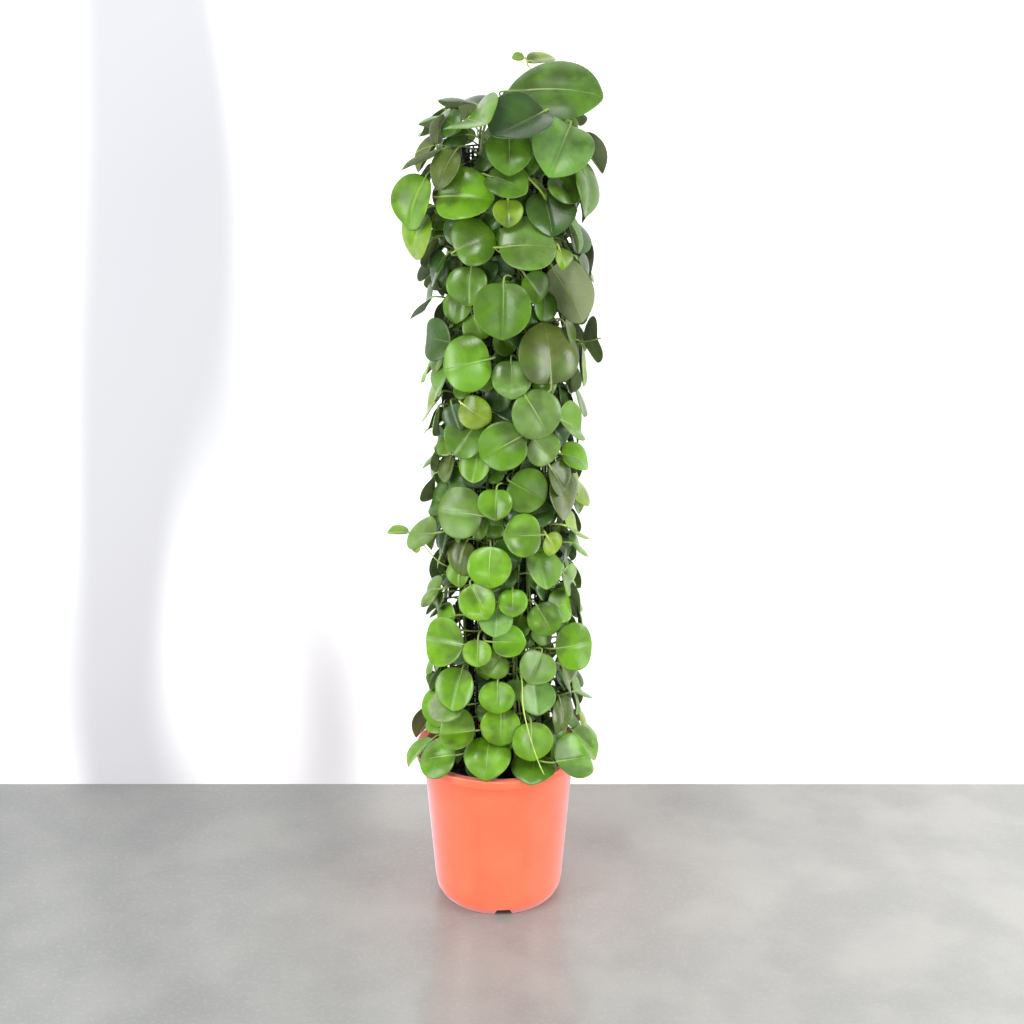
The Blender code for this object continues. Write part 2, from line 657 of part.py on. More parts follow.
def filling_leaf(azimuth, height, clear, draw):
    """A leaf for a gap: outside where the gap is wide, and deeper in where it is small."""
    share = (height - LOWEST_FILLING) / (HIGHEST_FILLING - LOWEST_FILLING)
    if clear < SMALL_GAP:
        wide = MM * (38.0 + 8.0 * share + draw.uniform(-4.0, 6.0))
        out = column_radius(height) + MM * (-12.0 + draw.uniform(-7.0, 8.0))
    else:
        wide = MM * (45.0 + 14.0 * share + draw.uniform(-7.0, 13.0))
        out = column_radius(height) + MM * draw.uniform(-7.0, 8.0)
    nod = draw.uniform(6.0, 32.0)
    if height < LOWEST_FILLING + LOW_RING:
        out += MM * 14.0
        nod += 14.0
    crown = max(0.0, height - CROWN_HEIGHT) / (HIGHEST_FILLING - CROWN_HEIGHT)
    out -= MM * 30.0 * crown
    nod += 38.0 * crown
    face = azimuth + draw.uniform(-22.0, 22.0)
    clock = 6.0 + draw.uniform(-2.6, 2.6)
    return Leaf(height, azimuth, out, wide, face, nod, clock, *form(draw), USUAL_DROP)


def turned_wall(profile, middle, sides=36):
    """The faces of a profile turned about an upright axis, as a wall that leaves keep clear of."""
    points = []
    for radius, height in profile:
        for step in range(sides):
            turn = 2 * math.pi * step / sides
            points.append(Vector((middle + radius * math.sin(turn), -radius * math.cos(turn), height)))
    faces = []
    for row in range(len(profile) - 1):
        for step in range(sides):
            after = (step + 1) % sides
            low = row * sides
            faces.append((low + step, low + after, low + sides + after, low + sides + step))
    return BVHTree.FromPolygons(points, faces)


def stem_wall(route, radius):
    """Four flat sides round a route, as a wall that other leaves keep clear of."""
    points = []
    for point in route:
        for x, y in ((1, 0), (0, 1), (-1, 0), (0, -1)):
            points.append(point + Vector((x * radius, y * radius, 0.0)))
    faces = []
    for row in range(len(route) - 1):
        for side in range(4):
            after = (side + 1) % 4
            faces.append((4 * row + side, 4 * row + after, 4 * row + 4 + after, 4 * row + 4 + side))
    return BVHTree.FromPolygons(points, faces)


def walls_to_clear():
    """The pot's rim, the soil and the tube."""
    lip = RIM_RADIUS - RIM_WIDTH
    tube_side = TUBE_RADIUS + STRAND
    tube_end = TUBE_TOP + STRAND
    rim = [(lip, SOIL_TOP), (lip, POT_HEIGHT), (RIM_RADIUS, POT_HEIGHT), (RIM_RADIUS, POT_HEIGHT / 2)]
    soil = [(MM, SOIL_TOP + SOIL_MOUND), (lip, SOIL_TOP + GAP)]
    tube = [(tube_side, SOIL_TOP), (tube_side, tube_end), (MM, tube_end)]
    return [turned_wall(rim, 0.0), turned_wall(soil, 0.0), turned_wall(tube, TUBE_X)]


def place_leaves(vines, shoots):
    """All the leaves: those on the shoots, those of the front, then what fills the gaps."""
    draw = random.Random(SEED)
    walls = walls_to_clear() + [stem_wall(route, SHOOT_RADIUS) for route in shoots]
    stems = [stem_wall(route, VINE_RADIUS) for route in vines]
    placed = [shoot_leaf(row) for row in SHOOT_LEAVES]
    gaps = Gaps()
    for leaf in front_leaves(draw):
        found = place_leaf(leaf, vines, walls, stems, placed)
        if found:
            placed.append(found)
            gaps.cover(found.leaf)
    wanted = len(placed) + FILLING_LEAVES
    while len(placed) < wanted:
        azimuth, height, clear = gaps.widest()
        found = place_leaf(filling_leaf(azimuth, height, clear, draw), vines, walls, stems, placed)
        if found:
            placed.append(found)
            gaps.cover(found.leaf)
        else:
            gaps.block(azimuth, height)
    return placed


def stem_mesh(name, route, radius, group):
    """A round stem along a route, its ends closed."""
    curve = bpy.data.curves.new(name, "CURVE")
    curve.dimensions = "3D"
    curve.bevel_depth = radius
    curve.bevel_resolution = 0
    curve.use_fill_caps = True
    line = curve.splines.new("POLY")
    line.points.add(len(route) - 1)
    for knot, point in zip(line.points, route):
        knot.co = (*point, 1.0)
    guide = add_object(name + "_guide", curve, group)
    bpy.context.view_layer.update()
    shape = bpy.data.meshes.new_from_object(guide.evaluated_get(bpy.context.evaluated_depsgraph_get()))
    bpy.data.objects.remove(guide, do_unlink=True)
    solid = bmesh.new()
    solid.from_mesh(shape)
    bmesh.ops.remove_doubles(solid, verts=solid.verts, dist=WELD)
    bmesh.ops.recalc_face_normals(solid, faces=solid.faces)
    solid.to_mesh(shape)
    solid.free()
    shape.materials.clear()
    return add_object(name, shape, group)


def leaf_object(name, found, group):
    places, triangles = flat_shape(found.leaf)
    mesh = bpy.data.meshes.new(name)
    mesh.from_pydata([tuple(corner) for corner in shape_leaf(found.leaf, found.root, places)], [], triangles)
    mesh.validate()
    return add_object(name, mesh, group)


def make_vine(index, route, group, finish, placed):
    """One vine with its leaves and shoots, joined to one body."""
    name = f"vine_{index + 1:02d}"
    vine = stem_mesh(name, route, VINE_RADIUS, group)
    vine.data.materials.append(finish)
    growth = collection(name + "_growth")
    for number, found in enumerate(placed):
        if found.vine == index:
            leaf_object(f"{name}_leaf_{number + 1:03d}", found, growth)
    for number, (carrier, _) in enumerate(SHOOTS):
        if carrier == index:
            stem_mesh(f"{name}_shoot_{number + 1}", shoot_route(number), SHOOT_RADIUS, growth)
    join = vine.modifiers.new("Join", "BOOLEAN")
    join.operation = "UNION"
    join.operand_type = "COLLECTION"
    join.collection = growth
    join.solver = "MANIFOLD"
    bpy.context.view_layer.objects.active = vine
    bpy.ops.object.modifier_apply(modifier="Join")
    tidy = vine.modifiers.new("Merge flat faces", "DECIMATE")
    tidy.decimate_type = "DISSOLVE"
    tidy.angle_limit = math.radians(0.3)
    bpy.ops.object.modifier_apply(modifier=tidy.name)
    for piece in list(growth.objects):
        bpy.data.objects.remove(piece, do_unlink=True)
    bpy.data.collections.remove(growth)
    return vine


FLAT_LEAVES = {(corners, steps): flat_leaf(corners, steps) for corners in (7, 9, 11) for steps in (1, 2)}
WAYS = ways_to_bend()


def main():
    remove_everything()
    group = collection("potted_cissus")
    vines = [vine_route(index) for index in range(VINE_COUNT)]
    shoots = [shoot_route(index) for index in range(len(SHOOTS))]
    make_pot(group)
    make_soil(group, vines)
    make_tube(group)
    placed = place_leaves(vines, shoots)
    finish = material("cissus leaf", (0.07, 0.20, 0.03), 0.35)
    for index, route in enumerate(vines):
        make_vine(index, route, group, finish, placed)


main()
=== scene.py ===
"""Looks of a climbing cissus on a netting tube, in a 24 cm nursery pot.

Metres, +Z up, the front of the plant faces -Y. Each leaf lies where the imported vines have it.
"""
import itertools
import math
import random
from collections import namedtuple

import bmesh
import bpy
import numpy as np
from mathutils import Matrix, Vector, noise
from mathutils.bvhtree import BVHTree


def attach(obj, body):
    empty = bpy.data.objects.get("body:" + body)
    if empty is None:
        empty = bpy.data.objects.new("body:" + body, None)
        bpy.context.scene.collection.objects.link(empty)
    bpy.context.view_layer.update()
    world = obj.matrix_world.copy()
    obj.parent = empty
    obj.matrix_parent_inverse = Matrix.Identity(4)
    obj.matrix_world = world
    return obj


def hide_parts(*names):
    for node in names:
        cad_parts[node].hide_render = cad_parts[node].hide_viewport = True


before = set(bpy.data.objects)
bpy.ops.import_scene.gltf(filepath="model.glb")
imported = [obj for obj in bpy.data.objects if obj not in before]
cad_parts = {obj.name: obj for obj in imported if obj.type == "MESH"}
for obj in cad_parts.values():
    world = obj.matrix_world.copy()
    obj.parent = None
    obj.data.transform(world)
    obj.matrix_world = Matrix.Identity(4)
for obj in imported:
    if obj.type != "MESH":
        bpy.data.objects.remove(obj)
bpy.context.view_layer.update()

MM = 0.001
BODY = "root"

# Pot: a 24 cm nursery pot with a rolled rim, a tapered wall and a notched foot.
POT_HEIGHT = 0.229
RIM_RADIUS = 0.120
RIM_DROP = 0.012
RIM_WIDTH = 0.0115
RIM_ROUNDING = 0.0025
RIM_TAPER = 0.001
WALL_TOP_RADIUS = 0.1083
WALL_FOOT_RADIUS = 0.0935
WALL_FOOT_HEIGHT = 0.026
WALL_THICKNESS = 0.0024
FOOT_RADIUS = 0.083
FOOT_RING_WIDTH = 0.009
FOOT_STEP_HEIGHT = 0.012
FOOT_STEP_DEPTH = 0.0025
FOOT_ROUNDING = 0.003
FLOOR_UNDERSIDE = 0.0125
FLOOR_TOP = 0.0150
INSIDE_CORNER = 0.010
POT_SIDES = 144
NOTCH_COUNT = 3
NOTCH_TURN = 4.7
NOTCH_BOTTOM_WIDTH = 0.028
NOTCH_TOP_WIDTH = 0.0186
NOTCH_HEIGHT = 0.0105
NOTCH_DEPTH = 2.4 * FOOT_RING_WIDTH
NOTCH_RING_RADIUS = FOOT_RADIUS - FOOT_RING_WIDTH / 3
HOLE_COUNT = 4
HOLE_RADIUS = 0.007
HOLE_RING_RADIUS = 0.052
CUT_PAST = 0.002
SMALL_ROUNDING = 0.0008

# Soil: peat with crumbs of bark, a little below the rim.
SOIL_TOP = 0.205
SOIL_MOUND = 0.006
SOIL_MOUND_RADIUS = 0.075
SOIL_EDGE_DROP = 0.002
SOIL_GROOVE_DEPTH = 0.030
SOIL_SIDES = 72
SOIL_RINGS = 16
SOIL_LUMP = 0.004
LUMPS_PER_METRE = 70.0
FINE_LUMPS_PER_METRE = 220.0
FINE_LUMP_SHARE = 0.4
CRUMBS = 420
CRUMB_SIZES = (0.9, 2.6)
CRUMB_LENGTHS = (1.0, 2.2)
CRUMB_HEIGHTS = (0.5, 0.9)
CRUMB_EDGE = 3 * MM
CRUMB_RISE = 0.3 * MM
GAP = 0.0003

# Netting tube: stands in the soil, a little right of the pot's middle. Its cells are square.
TUBE_X = 0.0106
TUBE_RADIUS = 0.054
TUBE_TOP = 1.070
NET_COLUMNS = 36
NET_ROWS = 96
NET_STRAND = 0.0028
STRAND = 0.0030

# Vines: climb close outside the tube.
VINE_COUNT = 9
FIRST_VINE = 12.0
VINE_RADIUS = 0.0024
VINE_RING_RADIUS = 0.0605
VINE_STEPS = 13
VINE_TOPS = (1.122, 1.112, 1.120, 1.104, 1.118, 1.108, 1.116, 1.098, 1.106)
VINE_SWAY = 5.0
VINE_SWAYS_PER_METRE = 9.0
VINE_SWAY_OFFSET = 1.9
VINE_SWAY_FROM = 0.30
VINE_WAVE = 0.0012
VINE_WAVES_PER_METRE = 13.0
VINE_LEAN_IN = 0.35
SHOOT_RADIUS = 0.0011

# Leaves: thick round blades on slim stalks.
BLADE_THICKNESS = 0.0012
STALK_WIDTH = 0.0028
STALK_ROOT_WIDTH = 0.0022
STALK_LEAD = 0.42
TIP_POINT = 0.09
TIP_WIDTH = 0.20
NOTCH_WIDTH = 0.5
BROAD_FROM = 90
BROAD_LEAF_FORM = (0.08, -0.04, 0.10, 1.2, -0.22)
BLADE_SCALE = 1.04
SMALL_WIDTH = 0.038
LARGE_WIDTH = 0.067
STRAIGHT_STALK_OUT = 0.100
SHOOT_LEAF_FORM = (0.2, 0.04, 0.05, 1.0, 0.06)
USUAL_DROP = 0.008
TOPMOST = 1.090

# From least to most of a leaf's fold, cup, curl, length and notch.
FORM_SPANS = ((0.12, 0.40), (-0.16, 0.12), (0.0, 0.22), (0.86, 1.04), (0.04, 0.15))

# How a leaf is bent clear: small changes of its height and distance out (mm), its nod and facing (degrees),
# its width (share) and how far below its base its stalk starts (mm).
CLEARANCE = 0.0007
UPS = (0, 5, -5)
OUTS = (0, 4, -4, 8, -8, 13, -13)
NODS = (0, 8, -8, 16, -16)
FACES = (0, 12, -12, 24, -24)
WIDTHS = (1.0, 0.92, 0.84)
DROPS = (8, 20, -6)
WAYS_TRIED = 3000

# Filling leaves: cover what the front view doesn't show, widest gap first.
FILLING_LEAVES = 120
LOWEST_FILLING = 0.242
HIGHEST_FILLING = 1.115
LOW_RING = 0.030
CROWN_HEIGHT = 1.055
COLUMN_RADIUS = 0.096
TOP_FLARE = 0.011
TOP_FLARE_FROM = 0.85
TOP_FLARE_OVER = 0.20
FOOT_FLARE = 0.012
FOOT_FLARE_FROM = 0.38
FOOT_FLARE_OVER = 0.14
SMALL_GAP = 0.014
SPOT_SIZE = 0.010
SPOT_TURN = 6.0
UNROLL_RADIUS = 0.100
SEED = 24

# Young inner leaves, which close the gaps near the stems: their widths, how far they stand out of the ring of
# vines and how much further at the sides (mm), and how they turn, nod and point.
INNER_LEAVES = 350
INNER_SEED = 61
INNER_COVER = 0.30
INNER_WAYS = 260
INNER_WIDTHS = (30.0, 46.0)
INNER_OUT = (9.0, 24.0)
INNER_ASIDE = 10.0
INNER_TURN = (-35.0, 35.0)
INNER_NODS = (-5.0, 30.0)
INNER_HOURS = (-4.0, 4.0)

# Leaves that have grown in through the netting, one over the other inside the tube.
INSIDE_SPACING = 0.0072
INSIDE_FIRST = 0.235
INSIDE_LAST = 1.082
INSIDE_TURN = 137.5
INSIDE_WIDTHS = (38.0, 46.0)
INSIDE_GAPS = (5.0, 7.0)
INSIDE_FACES = (-20.0, 20.0)
INSIDE_NODS = (-6.0, 8.0)
INSIDE_HOURS = (3.5, 8.5)

# A leaf: where its blade's middle is (height, azimuth, out), its width, how it lies (face, nod, clock), its
# form (fold, cup, curl, length, notch at its base), how far below its base its stalk leaves the vine, and
# its tone.
Leaf = namedtuple("Leaf", "height azimuth out wide face nod clock fold cup curl long notch drop tone")
Placed = namedtuple("Placed", "leaf vine root tree middle reach")

# The leaves of the front, read from the front view. Each row: height of the blade's middle, its distance
# to the right of the tube's axis and its distance out from that axis, the blade's width (all in mm), the
# compass turn that the blade faces (0 to the front, 90 to the right), how far it is tipped to face up,
# where its tip points as on a clock, and its tone.
FRONT_LEAVES = (
    (1142, 64, 68, 92, 6, 40, 3, "broad"), (1128, -50, 56, 70, -60, 84, 9, "slate"),
    (1101, -30, 92, 78, -58, 62, 3, "bright"), (1094, -84, 99, 38, -120, 6, 12, "pale"),
    (1063, -97, 113, 60, -90, 58, 6, "pale"), (1050, -67, 103, 54, -48, 15, 6.5, "olive"),
    (1108, 18, 98, 80, -2, 50, 8, "slate"), (1071, 6, 100, 58, 0, 34, 6, "mid"),
    (1076, 70, 112, 78, 18, 36, 7, "grey"), (1026, 104, 122, 74, 68, 12, 6, "mid"),
    (1016, -53, 106, 72, -15, 28, 3, "bright"), (1008, -106, 119, 78, -76, 8, 6.5, "bright"),
    (966, -112, 124, 68, -48, 12, 6.5, "yellow"), (1030, 1, 86, 58, 5, 56, 4, "mid"),
    (922, -86, 100, 54, -66, 18, 7, "dark"), (961, -41, 106, 64, -12, 22, 2, "mid"),
    (997, 4, 102, 38, 0, 30, 6, "yellow"), (958, 27, 113, 80, 8, 38, 3, "grey"),
    (994, 54, 100, 66, 22, 35, 6, "dark"), (965, 90, 105, 50, 76, 20, 6, "mid"),
    (1026, 40, 90, 38, 78, 42, 6, "yellow"), (1028, 66, 96, 52, 30, 22, 5, "mid"),
    (906, -45, 97, 56, -22, 18, 6, "mid"), (918, 4, 90, 48, 3, 18, 6, "dark"),
    (880, -2, 115, 72, -4, 14, 6, "mid"), (877, -62, 93, 46, -35, 18, 6, "mid"),
    (902, 36, 90, 46, 35, 15, 5, "mid"), (897, 80, 113, 82, 140, 25, 7.2, "olive"),
    (916, 98, 113, 54, 82, 10, 5, "dark"), (940, 72, 118, 30, 45, 20, 6, "yellow"),
    (818, 57, 116, 86, 24, 12, 12, "olive"), (808, -47, 111, 74, -14, 16, 8.5, "bright"),
    (832, -86, 107, 56, -48, 10, 9, "dark"), (838, 90, 107, 58, 80, 12, 5, "olive"),
    (791, 8, 99, 52, 4, 22, 6, "grey"), (780, 88, 99, 40, 120, 5, 6, "grey"),
    (770, -84, 97, 50, -98, 5, 7, "grey"), (744, -40, 105, 44, -18, 8, 4, "yellow"),
    (744, 38, 109, 66, 15, 14, 5, "grey"), (720, -90, 100, 46, -92, 5, 6.5, "grey"),
    (722, 82, 108, 56, 62, 25, 4, "bright"), (707, -54, 101, 60, -25, 22, 7, "mid"),
    (702, -2, 109, 64, -5, 14, 8, "mid"), (668, -92, 100, 38, -104, 0, 7, "grey"),
    (658, -76, 94, 38, -58, 20, 6, "olive"), (670, -38, 93, 48, -15, 20, 6, "bright"),
    (674, 92, 110, 48, 40, 48, 4, "bright"), (655, 68, 103, 56, 42, 15, 5, "olive"),
    (608, -57, 111, 70, -26, 16, 9, "mid"), (625, -12, 106, 46, -6, 26, 6, "bright"),
    (637, 29, 99, 62, 14, 18, 4, "mid"), (624, 76, 104, 66, 54, 10, 5, "olive"),
    (581, 24, 112, 58, 8, 20, 9, "bright"), (560, 62, 101, 34, 40, 8, 5, "yellow"),
    (572, 90, 103, 50, 80, 30, 4, "yellow"), (548, 98, 108, 44, 82, 35, 4, "grey"),
    (538, -21, 110, 60, -8, 20, 6, "bright"), (544, -60, 97, 50, -38, 18, 6, "olive"),
    (514, -66, 95, 40, -42, 20, 6, "mid"), (556, -82, 98, 34, -68, 15, 6, "dark"),
    (566, -110, 124, 54, -52, 42, 8.3, "grey"), (482, -104, 113, 52, -70, 38, 8, "grey"),
    (470, -90, 99, 38, -88, 10, 7, "mid"), (444, -84, 101, 44, -58, 32, 8, "bright"),
    (485, -36, 103, 52, -16, 18, 5, "bright"), (487, 10, 105, 40, 2, 24, 6, "bright"),
    (527, 49, 101, 52, 25, 38, 6, "grey"), (504, 84, 106, 46, 66, 5, 4.5, "grey"),
    (470, 75, 105, 48, 44, 25, 3, "bright"), (458, 49, 99, 48, 28, 12, 5, "mid"),
    (420, -80, 112, 68, -24, 18, 9, "bright"), (410, 92, 116, 66, 20, 16, 3, "bright"),
    (456, -12, 97, 46, -6, 28, 6, "grey"), (429, 4, 103, 46, 0, 32, 3, "bright"),
    (411, -36, 99, 40, -18, 20, 6, "bright"), (391, 42, 107, 52, 20, 28, 7, "grey"),
    (387, -15, 94, 44, -8, 15, 7, "mid"), (360, 86, 106, 54, 66, 5, 5, "olive"),
    (356, -92, 102, 46, -98, 10, 7, "grey"), (352, -66, 105, 62, -32, 12, 6, "bright"),
    (349, -11, 104, 50, -5, 20, 6, "bright"), (347, 42, 99, 52, 22, 28, 6, "grey"),
    (304, -7, 108, 55, -2, 20, 6, "bright"), (290, -64, 112, 62, -20, 48, 8.5, "bright"),
    (263, -25, 108, 66, -6, 50, 6, "bright"), (284, 36, 110, 58, 14, 14, 6, "bright"),
    (252, -94, 130, 62, -36, 40, 8.2, "bright"), (250, 92, 131, 68, 34, 50, 3.2, "bright"),
    (246, 36, 94, 64, 15, 58, 6, "mid"), (306, 80, 104, 60, 60, 8, 6, "olive"),
    (320, -80, 108, 60, -30, 56, 8.5, "pale"), (280, 70, 96, 48, 46, 25, 6, "mid"),
    (226, -27, 80, 54, -10, 62, 6, "dark"),
)

# Slim young shoots that stand clear of the leaves: the vine that each grows from, and its route as height,
# distance to the right of the tube's axis and distance in front of it, all in mm.
SHOOTS = (
    (0, ((385, 19, 62), (372, 22, 92), (340, 24, 116), (300, 33, 123), (262, 45, 125), (244, 53, 127))),
    (7, ((498, -64, 30), (520, -88, 42), (538, -106, 40), (552, -120, 32), (558, -132, 24))),
    (2, ((1114, 60, -2), (1140, 50, -22), (1160, 38, -27), (1169, 30, -26), (1178, 27, -24))),
)

# Tendrils, thin, bare and curved: the vine that each grows from, and its route as above.
TENDRIL_RADIUS = 0.0007
TENDRILS = (
    (7, ((1084, -54, 22), (1106, -62, 38), (1122, -80, 48), (1129, -100, 50), (1128, -118, 47))),
    (7, ((1060, -56, 24), (1074, -76, 40), (1072, -100, 50), (1058, -124, 46))),
    (8, ((980, -30, 54), (964, -22, 84), (950, -8, 104), (948, 8, 108))),
)

# The young leaves on the shoots: the shoot and the point of its route that each grows from, then the height
# of the blade's middle, its distance to the right of the tube's axis and its distance in front of it, its
# width, and how it faces, is tipped and points, as above.
SHOOT_LEAVES = (
    (1, 4, 557, -147, 20, 30, -25, 86, 8.5),
    (1, 3, 540, -121, 36, 14, -30, 10, 6),
    (2, 3, 1178, 46, -34, 38, 4, 66, 2.3),
    (2, 4, 1180, 17, -25, 16, 0, 50, 9),
)

# Each tone's colour on the upper face, and how strongly its midrib shows. Besides the leaves' own colours, the
# tones carry painted light and shade: bright is partly a painted highlight, grey and pale are partly a painted
# whitish sheen, and dark and slate are partly painted shade.
TONES = {
    "broad": ("#587a2e", 0.42),
    "bright": ("#67971a", 0.30),
    "mid": ("#547b1b", 0.24),
    "dark": ("#365721", 0.16),
    "slate": ("#385430", 0.14),
    "grey": ("#6b9045", 0.26),
    "pale": ("#949f7c", 0.20),
    "olive": ("#556329", 0.18),
    "yellow": ("#7f9b24", 0.28),
    "young": ("#86a238", 0.30),
}
TOP_TONES = ("mid", "slate", "dark", "grey", "mid", "bright", "olive")
FOOT_TONES = ("bright", "bright", "mid", "bright", "yellow", "grey", "mid")
# The inner leaves get the darker tones: partly painted shade deep inside the column.
INNER_TONES = ("dark", "mid", "dark", "slate", "mid")

# How the tones vary: the leaves are lightest at one height and have more blue towards the top, and each leaf
# is a little lighter or darker and warmer or cooler than its tone.
USUAL_LIGHT = 0.93
PEAK_LIGHTENING = 0.20
LIGHTEST_HEIGHT = 0.50
LIGHTENING_REACH = 0.15
BLUE_SHARE = 0.78
BLUE_PER_METRE = 0.20
LIGHT_SPREAD = (0.90, 1.10)
WARM_SPREAD = (0.92, 1.08)
RIB_SPREAD = (0.7, 1.4)

# The camera and the stage behind the plant.
CAMERA_PLACE = (0.0196, -1.979, 1.185)
CAMERA_PITCH = 73.0
CAMERA_LENS = 52.73
CAMERA_SENSOR = 36.0
WALL_BEHIND = 0.319
STAGE_WIDTH = 6.0
WALL_HEIGHT = 3.2
FLOOR_AHEAD = 3.0
SKY_COLOUR = "#f3f6fa"
SKY_STRENGTH = 0.32

# The lamps, all large and soft: name, place, the point that it faces, width and height, and power.
LAMPS = (
    ("key", (-0.7, -1.7, 2.7), (0.0, 0.0, 0.7), (0.9, 0.9), 38.0),
    ("window_left", (-1.7, -1.0, 0.8), (0.0, 0.0, 0.5), (0.9, 1.6), 37.0),
    ("window_right", (1.8, -0.8, 0.8), (0.0, 0.0, 0.5), (0.9, 1.6), 42.0),
    ("pot_fill", (0.1, -2.1, 0.35), (0.0, 0.0, 0.12), (1.4, 0.4), 11.0),
)


def colour(code):
    """An sRGB hex value as linear red, green, blue and alpha."""
    parts = [int(code[place:place + 2], 16) / 255 for place in (1, 3, 5)]
    linear = [part / 12.92 if part <= 0.04045 else ((part + 0.055) / 1.055) ** 2.4 for part in parts]
    return (*linear, 1.0)


def add_node(tree, kind, inputs=None, **settings):
    """Adds a node with its settings; each input gets a value, or the socket that feeds it."""
    made = tree.nodes.new(kind)
    for name, value in settings.items():
        setattr(made, name, value)
    for key, value in (inputs or {}).items():
        if isinstance(value, bpy.types.NodeSocket):
            tree.links.new(value, made.inputs[key])
        else:
            made.inputs[key].default_value = value
    return made


def new_material(name, **values):
    """A material with the values that are the same all over set on its shader's own sockets."""
    made = bpy.data.materials.new(name)
    made.use_nodes = True
    shader = made.node_tree.nodes["Principled BSDF"]
    for socket, value in values.items():
        shader.inputs[socket.replace("_", " ")].default_value = value
    return made, made.node_tree, shader


def mix(tree, factor, first, second, blend="MIX"):
    """The result socket of a colour mix."""
    made = add_node(tree, "ShaderNodeMix", data_type="RGBA", blend_type=blend)
    for place, value in ((0, factor), (6, first), (7, second)):
        if isinstance(value, bpy.types.NodeSocket):
            tree.links.new(value, made.inputs[place])
        else:
            made.inputs[place].default_value = value
    return made.outputs[2]


def maths(tree, operation, first, second=0.0, third=0.0):
    made = add_node(tree, "ShaderNodeMath", {0: first, 1: second, 2: third}, operation=operation)
    return made.outputs[0]


def ramped(tree, value, low, high, to_low=0.0, to_high=1.0):
    """A value taken smoothly from one range to another."""
    made = add_node(tree, "ShaderNodeMapRange", {0: value, 1: low, 2: high, 3: to_low, 4: to_high},
                    interpolation_type="SMOOTHSTEP")
    return made.outputs[0]


def object_noise(tree, size, detail=3.0):
    """Noise whose lumps have a size in metres."""
    place = add_node(tree, "ShaderNodeTexCoord").outputs["Object"]
    inputs = {"Vector": place, "Scale": 1.0 / size, "Detail": detail}
    return add_node(tree, "ShaderNodeTexNoise", inputs).outputs[0]


def tint(tree, body, mask, strength, code):
    """A colour, mixed towards another by a mask times a strength."""
    return mix(tree, maths(tree, "MULTIPLY", mask, strength), body, colour(code))


def bump(tree, shader, height, distance, strength=1.0):
    made = add_node(tree, "ShaderNodeBump", {"Height": height, "Distance": distance, "Strength": strength})
    tree.links.new(made.outputs[0], shader.inputs["Normal"])


def moulded_polypropylene():
    """Injection-moulded polypropylene: an even orange with a soft sheen, faintly clouded and scuffed."""
    made, tree, shader = new_material(
        "moulded_polypropylene", IOR=1.49, Sheen_Weight=1.0, Sheen_Roughness=0.36,
        Sheen_Tint=colour("#ffe9fa"), Coat_Weight=0.9, Coat_Roughness=0.27)
    clouds = ramped(tree, object_noise(tree, 0.060), 0.35, 0.7)
    body = mix(tree, clouds, colour("#f56b42"), colour("#fa734b"))
    scuffs = ramped(tree, object_noise(tree, 0.006, 6.0), 0.60, 0.78)
    tree.links.new(tint(tree, body, scuffs, 0.10, "#ffc4a8"), shader.inputs["Base Color"])
    tree.links.new(ramped(tree, scuffs, 0.0, 1.0, 0.36, 0.50), shader.inputs["Roughness"])
    bump(tree, shader, object_noise(tree, 0.0012, 2.0), 0.00003, 0.5)
    return made


def black_polyethylene():
    """Extruded black polyethylene netting: near black, with a dull waxy shine on its strands."""
    made, tree, shader = new_material("extruded_black_polyethylene", IOR=1.51)
    dust = ramped(tree, object_noise(tree, 0.020, 4.0), 0.45, 0.75)
    tree.links.new(mix(tree, dust, colour("#0c0d0c"), colour("#24261f")), shader.inputs["Base Color"])
    tree.links.new(ramped(tree, dust, 0.0, 1.0, 0.42, 0.70), shader.inputs["Roughness"])
    return made


def peat():
    """Potting peat with bark: dark brown, quite matt, with paler fibres, and near black where its bumps dip."""
    made, tree, shader = new_material("potting_peat", Roughness=0.95, IOR=1.40)
    lumps = object_noise(tree, 0.005, 6.0)
    ground = mix(tree, ramped(tree, lumps, 0.35, 0.65), colour("#17100b"), colour("#3a291c"))
    fibres = ramped(tree, object_noise(tree, 0.0016, 3.0), 0.62, 0.75)
    ground = mix(tree, fibres, ground, colour("#6f563d"))
    tree.links.new(ground, shader.inputs["Base Color"])
    bump(tree, shader, lumps, 0.0015)
    return made


def blade_pattern(tree):
    """Places on a blade from its map: the midrib, the side veins and the margin, each from 0 to 1, and how
    far along the blade a point lies, from -1 at its base to 1 at its tip."""
    place = add_node(tree, "ShaderNodeUVMap", uv_map="blade").outputs[0]
    split = add_node(tree, "ShaderNodeSeparateXYZ", {0: place})
    across = maths(tree, "MULTIPLY_ADD", split.outputs[0], 2.0, -1.0)
    along = maths(tree, "MULTIPLY_ADD", split.outputs[1], 2.0, -1.0)
    aside = maths(tree, "ABSOLUTE", across)
    thin = ramped(tree, along, -1.0, 0.85, 0.034, 0.008)
    midrib = maths(tree, "SUBTRACT", 1.0, ramped(tree, maths(tree, "DIVIDE", aside, thin), 0.3, 1.2))
    run = maths(tree, "MULTIPLY_ADD", aside, -0.75, along)
    wave = maths(tree, "SINE", maths(tree, "MULTIPLY", run, 15.0))
    veins = ramped(tree, wave, 0.93, 1.0)
    squares = [maths(tree, "POWER", value, 2.0) for value in (across, along)]
    out = maths(tree, "SQRT", maths(tree, "ADD", *squares))
    margin = ramped(tree, out, 0.945, 0.985)
    return midrib, veins, margin, along


